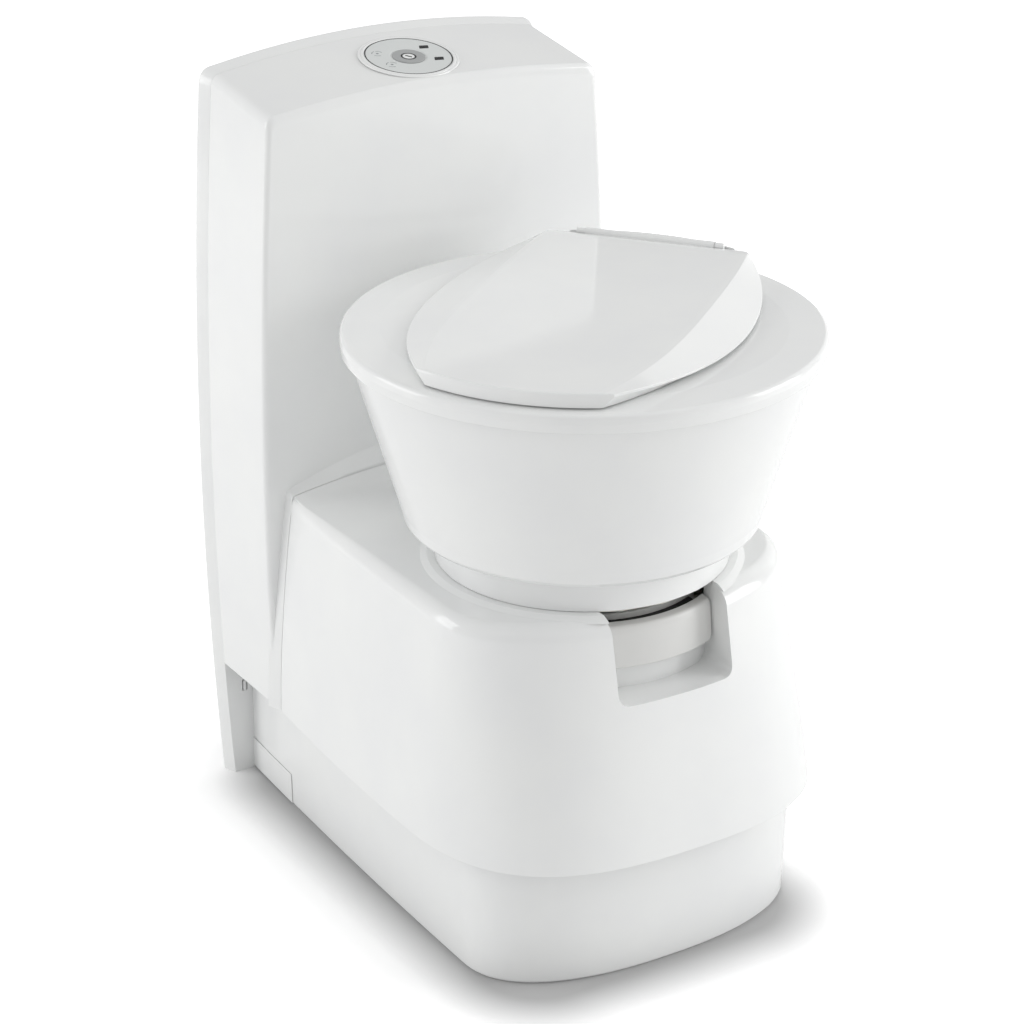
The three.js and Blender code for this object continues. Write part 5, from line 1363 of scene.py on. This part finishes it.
@dataclass
class Handle:
    """Pull handle of the waste valve: a curved grip in the notch under the bowl, with a black strip behind it
    that paints the shade under the bowl's neck.
    """

    outer_foot: float = 131.0
    outer_top: float = 126.5
    lip: float = 8.0
    foot: float = 280.0
    top: float = 317.0
    inner: float = 104.0
    half: float = 56.2
    corner: float = 10.0
    channel_inner: float = 106.0
    channel_outer: float = 117.5
    channel_foot: float = 303.0
    # Top of the black strip behind the grip's crown, which paints the shade under the bowl's neck.
    painted_shade_strip_top: float = 315.0
    stem_half: float = 11.0
    gear_foot: float = 284.0
    gear_height: float = 8.0
    reach: float = 200.0
    underside_step: float = 12.0

    def front_view(self, inset: float) -> Piece:
        """Return the grip's rounded front view as a block to trim a ring with."""
        half, foot, top = self.half - inset, self.foot - 1, self.top + 5
        outline = rounded_profile([(-half, foot, self.corner), (half, foot, self.corner),
                                   (half, top, self.corner), (-half, top, self.corner)], 8)
        return extruded("front_view", outline, 0, -self.reach, lambda a, b, level: (a, level, b))

    def build_painted_shade_strip(self) -> Piece:
        """Build a black rubber strip in the channel behind the grip's crown, a dark sheet that paints the shade
        in the gap under the bowl's neck.
        """
        low, high = self.channel_inner + DATUM.gap, self.channel_outer - DATUM.gap
        profile = [(low, self.channel_foot + DATUM.gap, 0), (high, self.channel_foot + DATUM.gap, 0),
                   (high, self.painted_shade_strip_top, 1.2), (low, self.painted_shade_strip_top, 1.2)]
        painted_shade_strip = lathe("blade_handle_painted_shade_strip", rounded_profile(profile, 3), 192)
        combine(painted_shade_strip, self.front_view(self.corner), Cut.KEEP)
        painted_shade_strip.data.transform(DATUM.swivel_place)
        return dressed(soften(painted_shade_strip, 0.4), BLACK_RUBBER, "handle")

    def build(self) -> list[Piece]:
        """Build and dress the handle's grip."""
        ledge = self.foot + self.underside_step
        profile = [
            (self.outer_foot - self.lip, self.foot, 1.0), (self.outer_foot, self.foot, 2.2),
            (self.outer_top + 1.2, self.top - 6, 12), (self.outer_top - 0.6, self.top, 4.5),
            (self.inner, self.top + 3, 0), (self.inner, ledge - 2, 0), (self.outer_foot - self.lip, ledge, 1.5)]
        grip = lathe("blade_handle_grip", rounded_profile(profile, 6), 192)
        channel = [(self.channel_inner, self.channel_foot), (self.channel_outer, self.channel_foot),
                   (self.channel_outer, self.top + 5), (self.channel_inner, self.top + 5)]
        combine(grip, lathe("channel", channel, 192), Cut.REMOVE)
        combine(grip, self.front_view(0.0), Cut.KEEP)
        combine(grip, block("stem_pocket",
                            (-self.stem_half - DATUM.gap, -self.inner - 4, self.gear_foot - DATUM.gap),
                            (self.stem_half + DATUM.gap, 0.0, self.gear_foot + self.gear_height + DATUM.gap)),
                Cut.REMOVE)
        soften(grip, 1.6, 4)
        grip.data.transform(DATUM.swivel_place)
        return [dressed(grip, GREY_PP, "handle", "blade_handle"), self.build_painted_shade_strip()]


@dataclass
class Studio:
    """Pale floor and backdrop, soft lamps, and the camera at the photograph's angle.

    The floor's paper colour is painted darker close to the plinth, a painted shadow, and the floor glows for
    the camera further away;
    both are set out by the distance from a box, foot_centre and foot_half, in metres.
    """

    azimuth: float = -31.859
    elevation: float = 23.851
    lens: float = 106.2
    camera_place: Point = (-1.3147, -2.0778, 1.4258)
    foot_centre: Point = (-0.012, 0.018, 0.0)
    foot_half: Point = (0.095, 0.197, 0.0)
    painted_shadow_reach: Row = (0.055, 0.105)
    painted_shadow: Row = (0.5, 0.96)
    glow_reach: Row = (0.06, 0.18)
    glow: Row = (0.0, 0.45)
    fill_strength: float = 0.68
    mirrored_strength: float = 0.45
    floor_reach: float = 60.0
    lamps: tuple[tuple[str, Point, Point, Row, float], ...] = (
        ("sky_panel", (-0.4, -0.6, 3.2), (0.0, 0.0, 0.3), (3.2, 3.2), 10.0),
        ("left_panel", (-2.5, 1.6, 1.2), (0.0, 0.0, 0.4), (1.6, 2.0), 27.0),
        ("right_panel", (2.6, -1.4, 1.2), (0.0, 0.0, 0.4), (1.6, 2.0), 40.0),
        ("back_panel", (2.4, 1.0, 1.3), (0.0, 0.0, 0.4), (1.6, 2.0), 7.0))

    def camera(self) -> Piece:
        """Create the scene's camera."""
        data = bpy.data.cameras.new("camera")
        data.lens = self.lens
        data.sensor_width = 36.0
        data.clip_end = 100.0
        data.dof.use_dof = False
        camera = in_scene("camera", data)
        azimuth, elevation = math.radians(self.azimuth), math.radians(self.elevation)
        right = Vector((math.cos(azimuth), math.sin(azimuth), 0.0))
        back = Vector((math.sin(azimuth) * math.cos(elevation), -math.cos(azimuth) * math.cos(elevation),
                       math.sin(elevation)))
        up = back.cross(right)
        turn = Matrix((right, up, back)).transposed().to_4x4()
        camera.matrix_world = Matrix.Translation(self.camera_place) @ turn
        bpy.context.scene.camera = camera
        return camera

    def lamp(self, name: str, place: Point, aim: Point, size: Row, watts: float) -> Piece:
        """Hang a soft rectangular lamp.

        Args:
            name: Name of the lamp.
            place: Where it hangs, in metres.
            aim: What it points at, in metres.
            size: Width and height in metres.
            watts: Strength.

        Returns:
            The lamp.
        """
        data = bpy.data.lights.new(name, "AREA")
        data.shape = "RECTANGLE"
        data.size, data.size_y = size
        data.energy = watts
        lamp = in_scene(name, data)
        lamp.location = place
        lamp.rotation_euler = (Vector(aim) - Vector(place)).to_track_quat("-Z", "Y").to_euler()
        return lamp

    def world(self) -> None:
        """Light everything evenly, show white to the camera and through glass, and a dimmer white to mirrors.
        """
        world = bpy.data.worlds.new("studio")
        bpy.context.scene.world = world
        tree = emptied_tree(world)
        path = add_node(tree, "LightPath")
        seen = add_node(tree, "Math", {"operation": "MAXIMUM"},
                        {0: path.outputs["Is Camera Ray"], 1: path.outputs["Is Transmission Ray"]})
        fill = add_node(tree, "Background", {"Color": linear("FCFCFC"), "Strength": self.fill_strength})
        white = add_node(tree, "Background", {"Color": (1.0, 1.0, 1.0, 1.0), "Strength": 1.0})
        glossy = add_node(tree, "Background", {"Color": linear("FAFAFA"), "Strength": self.mirrored_strength})
        mirrored = add_node(tree, "MixShader",
                            links={0: path.outputs["Is Glossy Ray"], 1: fill.outputs[0], 2: glossy.outputs[0]})
        mixed = add_node(tree, "MixShader",
                         links={0: seen.outputs[0], 1: mirrored.outputs[0], 2: white.outputs[0]})
        add_node(tree, "OutputWorld", links={"Surface": mixed.outputs[0]})

    def floor(self) -> Piece:
        """Lay a pale floor that looks white to the camera where no shadow falls, with a painted shadow in its
        colour round the plinth.
        """
        reach = self.floor_reach
        mesh = bpy.data.meshes.new("floor")
        mesh.from_pydata([(-reach, -reach, 0), (reach, -reach, 0), (reach, reach, 0), (-reach, reach, 0)], [],
                         [(0, 1, 2, 3)])
        floor = in_scene("floor", mesh)
        material = bpy.data.materials.new("studio_floor_paper")
        mesh.materials.append(material)
        tree = emptied_tree(material)
        away = add_node(tree, "TexCoord").outputs["Object"]
        for operation, settings in (("SUBTRACT", {1: self.foot_centre}), ("ABSOLUTE", {}),
                                    ("SUBTRACT", {1: self.foot_half}), ("MAXIMUM", {1: (0.0, 0.0, 0.0)})):
            away = add_node(tree, "VectorMath", {"operation": operation, **settings}, {0: away}).outputs[0]
        away = add_node(tree, "VectorMath", {"operation": "LENGTH"}, {0: away}).outputs["Value"]
        # Painted shadow: the paper's own colour is darker close to the plinth, on top of the shadow that the
        # lamps cast.
        paper = add_node(tree, "BsdfDiffuse", links={"Color": mapped(tree, away, self.painted_shadow_reach, self.painted_shadow)})
        glow = add_node(tree, "Emission", {"Color": (1.0, 1.0, 1.0, 1.0)},
                        {"Strength": mapped(tree, away, self.glow_reach, self.glow)})
        path = add_node(tree, "LightPath")
        lift = add_node(tree, "AddShader", links={0: paper.outputs[0], 1: glow.outputs[0]})
        mixed = add_node(tree, "MixShader",
                         links={0: path.outputs["Is Camera Ray"], 1: paper.outputs[0], 2: lift.outputs[0]})
        add_node(tree, "OutputMaterial", links={"Surface": mixed.outputs[0]})
        return floor

    def build(self) -> None:
        """Set up the lamps, the world, the floor and the plain view transform."""
        scene = bpy.context.scene
        scene.view_settings.view_transform = "Standard"
        self.world()
        self.floor()
        for lamp in self.lamps:
            self.lamp(*lamp)


@dataclass
class CarriedNodes:
    """CAD nodes whose shape is right: copied with welded seams, rounded edges and their finish.

    Angles are in degrees: edges sharper than round_from are rounded, those sharper than crisp_from stay crisp.
    """

    rounding: dict[str, float] = field(default_factory=lambda: {
        "waste_tank": 1.2, "valve_cover": 0.8, "carry_handle": 0.8, "flush_tank": 1.2, "handle_rack": 0.3,
        "drive_pinion": 0.2, "panel_electronics": 0.5, "level_lens_1": 0.15, "level_lens_2": 0.15})
    finishes: dict[Finish, tuple[str, ...]] = field(default_factory=lambda: {
        BLACK_ABS: ("level_lens_1", "level_lens_2", "panel_electronics", "wheel_left", "wheel_right"),
        ACETAL: ("handle_rack", "drive_pinion", "rack_guide", "swivel_bearing", "valve_blade", "spray_nozzle"),
        GREY_HDPE: ("waste_tank", "valve_cover", "pour_spout", "carry_handle", "spout_cap", "vent_button"),
        NATURAL_PE: ("flush_tank", "flush_pump"),
        BLACK_RUBBER: ("mouth_seal", "seat_pad_1", "seat_pad_2", "seat_pad_3", "seat_pad_4"),
        GROUND_STEEL: ("pinion_pin", "hinge_pin", "wheel_axle"),
    })
    usual_rounding: float = 0.5
    round_from: float = 35.0
    crisp_from: float = 36.0

    def build(self, frame: dict[str, Any], done: Iterable[str]) -> list[Piece]:
        """Copy and dress every node that no other piece stands for.

        Args:
            done: Nodes that other pieces stand for.

        Returns:
            The new pieces.
        """
        finish_of = {node: finish for finish, nodes in self.finishes.items() for node in nodes}
        body_of = {node: body for body, nodes in frame["record"]["behaviour"]["bodies"].items()
                   for node in nodes}
        pieces = []
        for node, source in frame["nodes"].items():
            if node in done:
                continue
            mesh = source.data.copy()
            mesh.name = node + "_finished"
            piece = in_scene(mesh.name, mesh)
            self.weld(mesh)
            soften(piece, self.rounding.get(node, self.usual_rounding), 2, self.round_from, self.crisp_from)
            pieces.append(dressed(piece, finish_of.get(node, WHITE_ABS), body_of[node], node))
        return pieces

    @staticmethod
    def weld(mesh: bpy.types.Mesh) -> None:
        """Join the split corners of a copied mesh and merge its flat triangles into faces."""
        body = bmesh.new()
        body.from_mesh(mesh)
        bmesh.ops.remove_doubles(body, verts=body.verts, dist=2e-6)
        bmesh.ops.dissolve_limit(body, angle_limit=math.radians(0.5), verts=body.verts, edges=body.edges)
        body.to_mesh(mesh)
        body.free()
        for name in ("custom_normal", "sharp_face", "sharp_edge"):
            if name in mesh.attributes:
                mesh.attributes.remove(mesh.attributes[name])


def main() -> None:
    """Build the studio and every sub-assembly in order, and report each piece."""
    logging.basicConfig(level=logging.INFO, format="%(name)s: %(message)s")
    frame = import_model()
    studio = Studio()
    studio.camera()
    studio.build()
    tower = Tower()
    housing = Housing(tower)
    bowl = Bowl()
    assemblies = [tower, Panel(tower), housing, Plinth(housing), bowl, SeatAndLid(bowl), Handle()]
    done: set[str] = set()
    for assembly in assemblies:
        for piece in assembly.build():
            done.update(PIECE_NODES.get(piece.name, ()))
            LOG.info("%s: %s with %d faces", type(assembly).__name__, piece.name, len(piece.data.polygons))
    for piece in CarriedNodes().build(frame, done):
        LOG.info("carried: %s with %d faces", piece.name, len(piece.data.polygons))


if __name__ == "__main__":
    main()
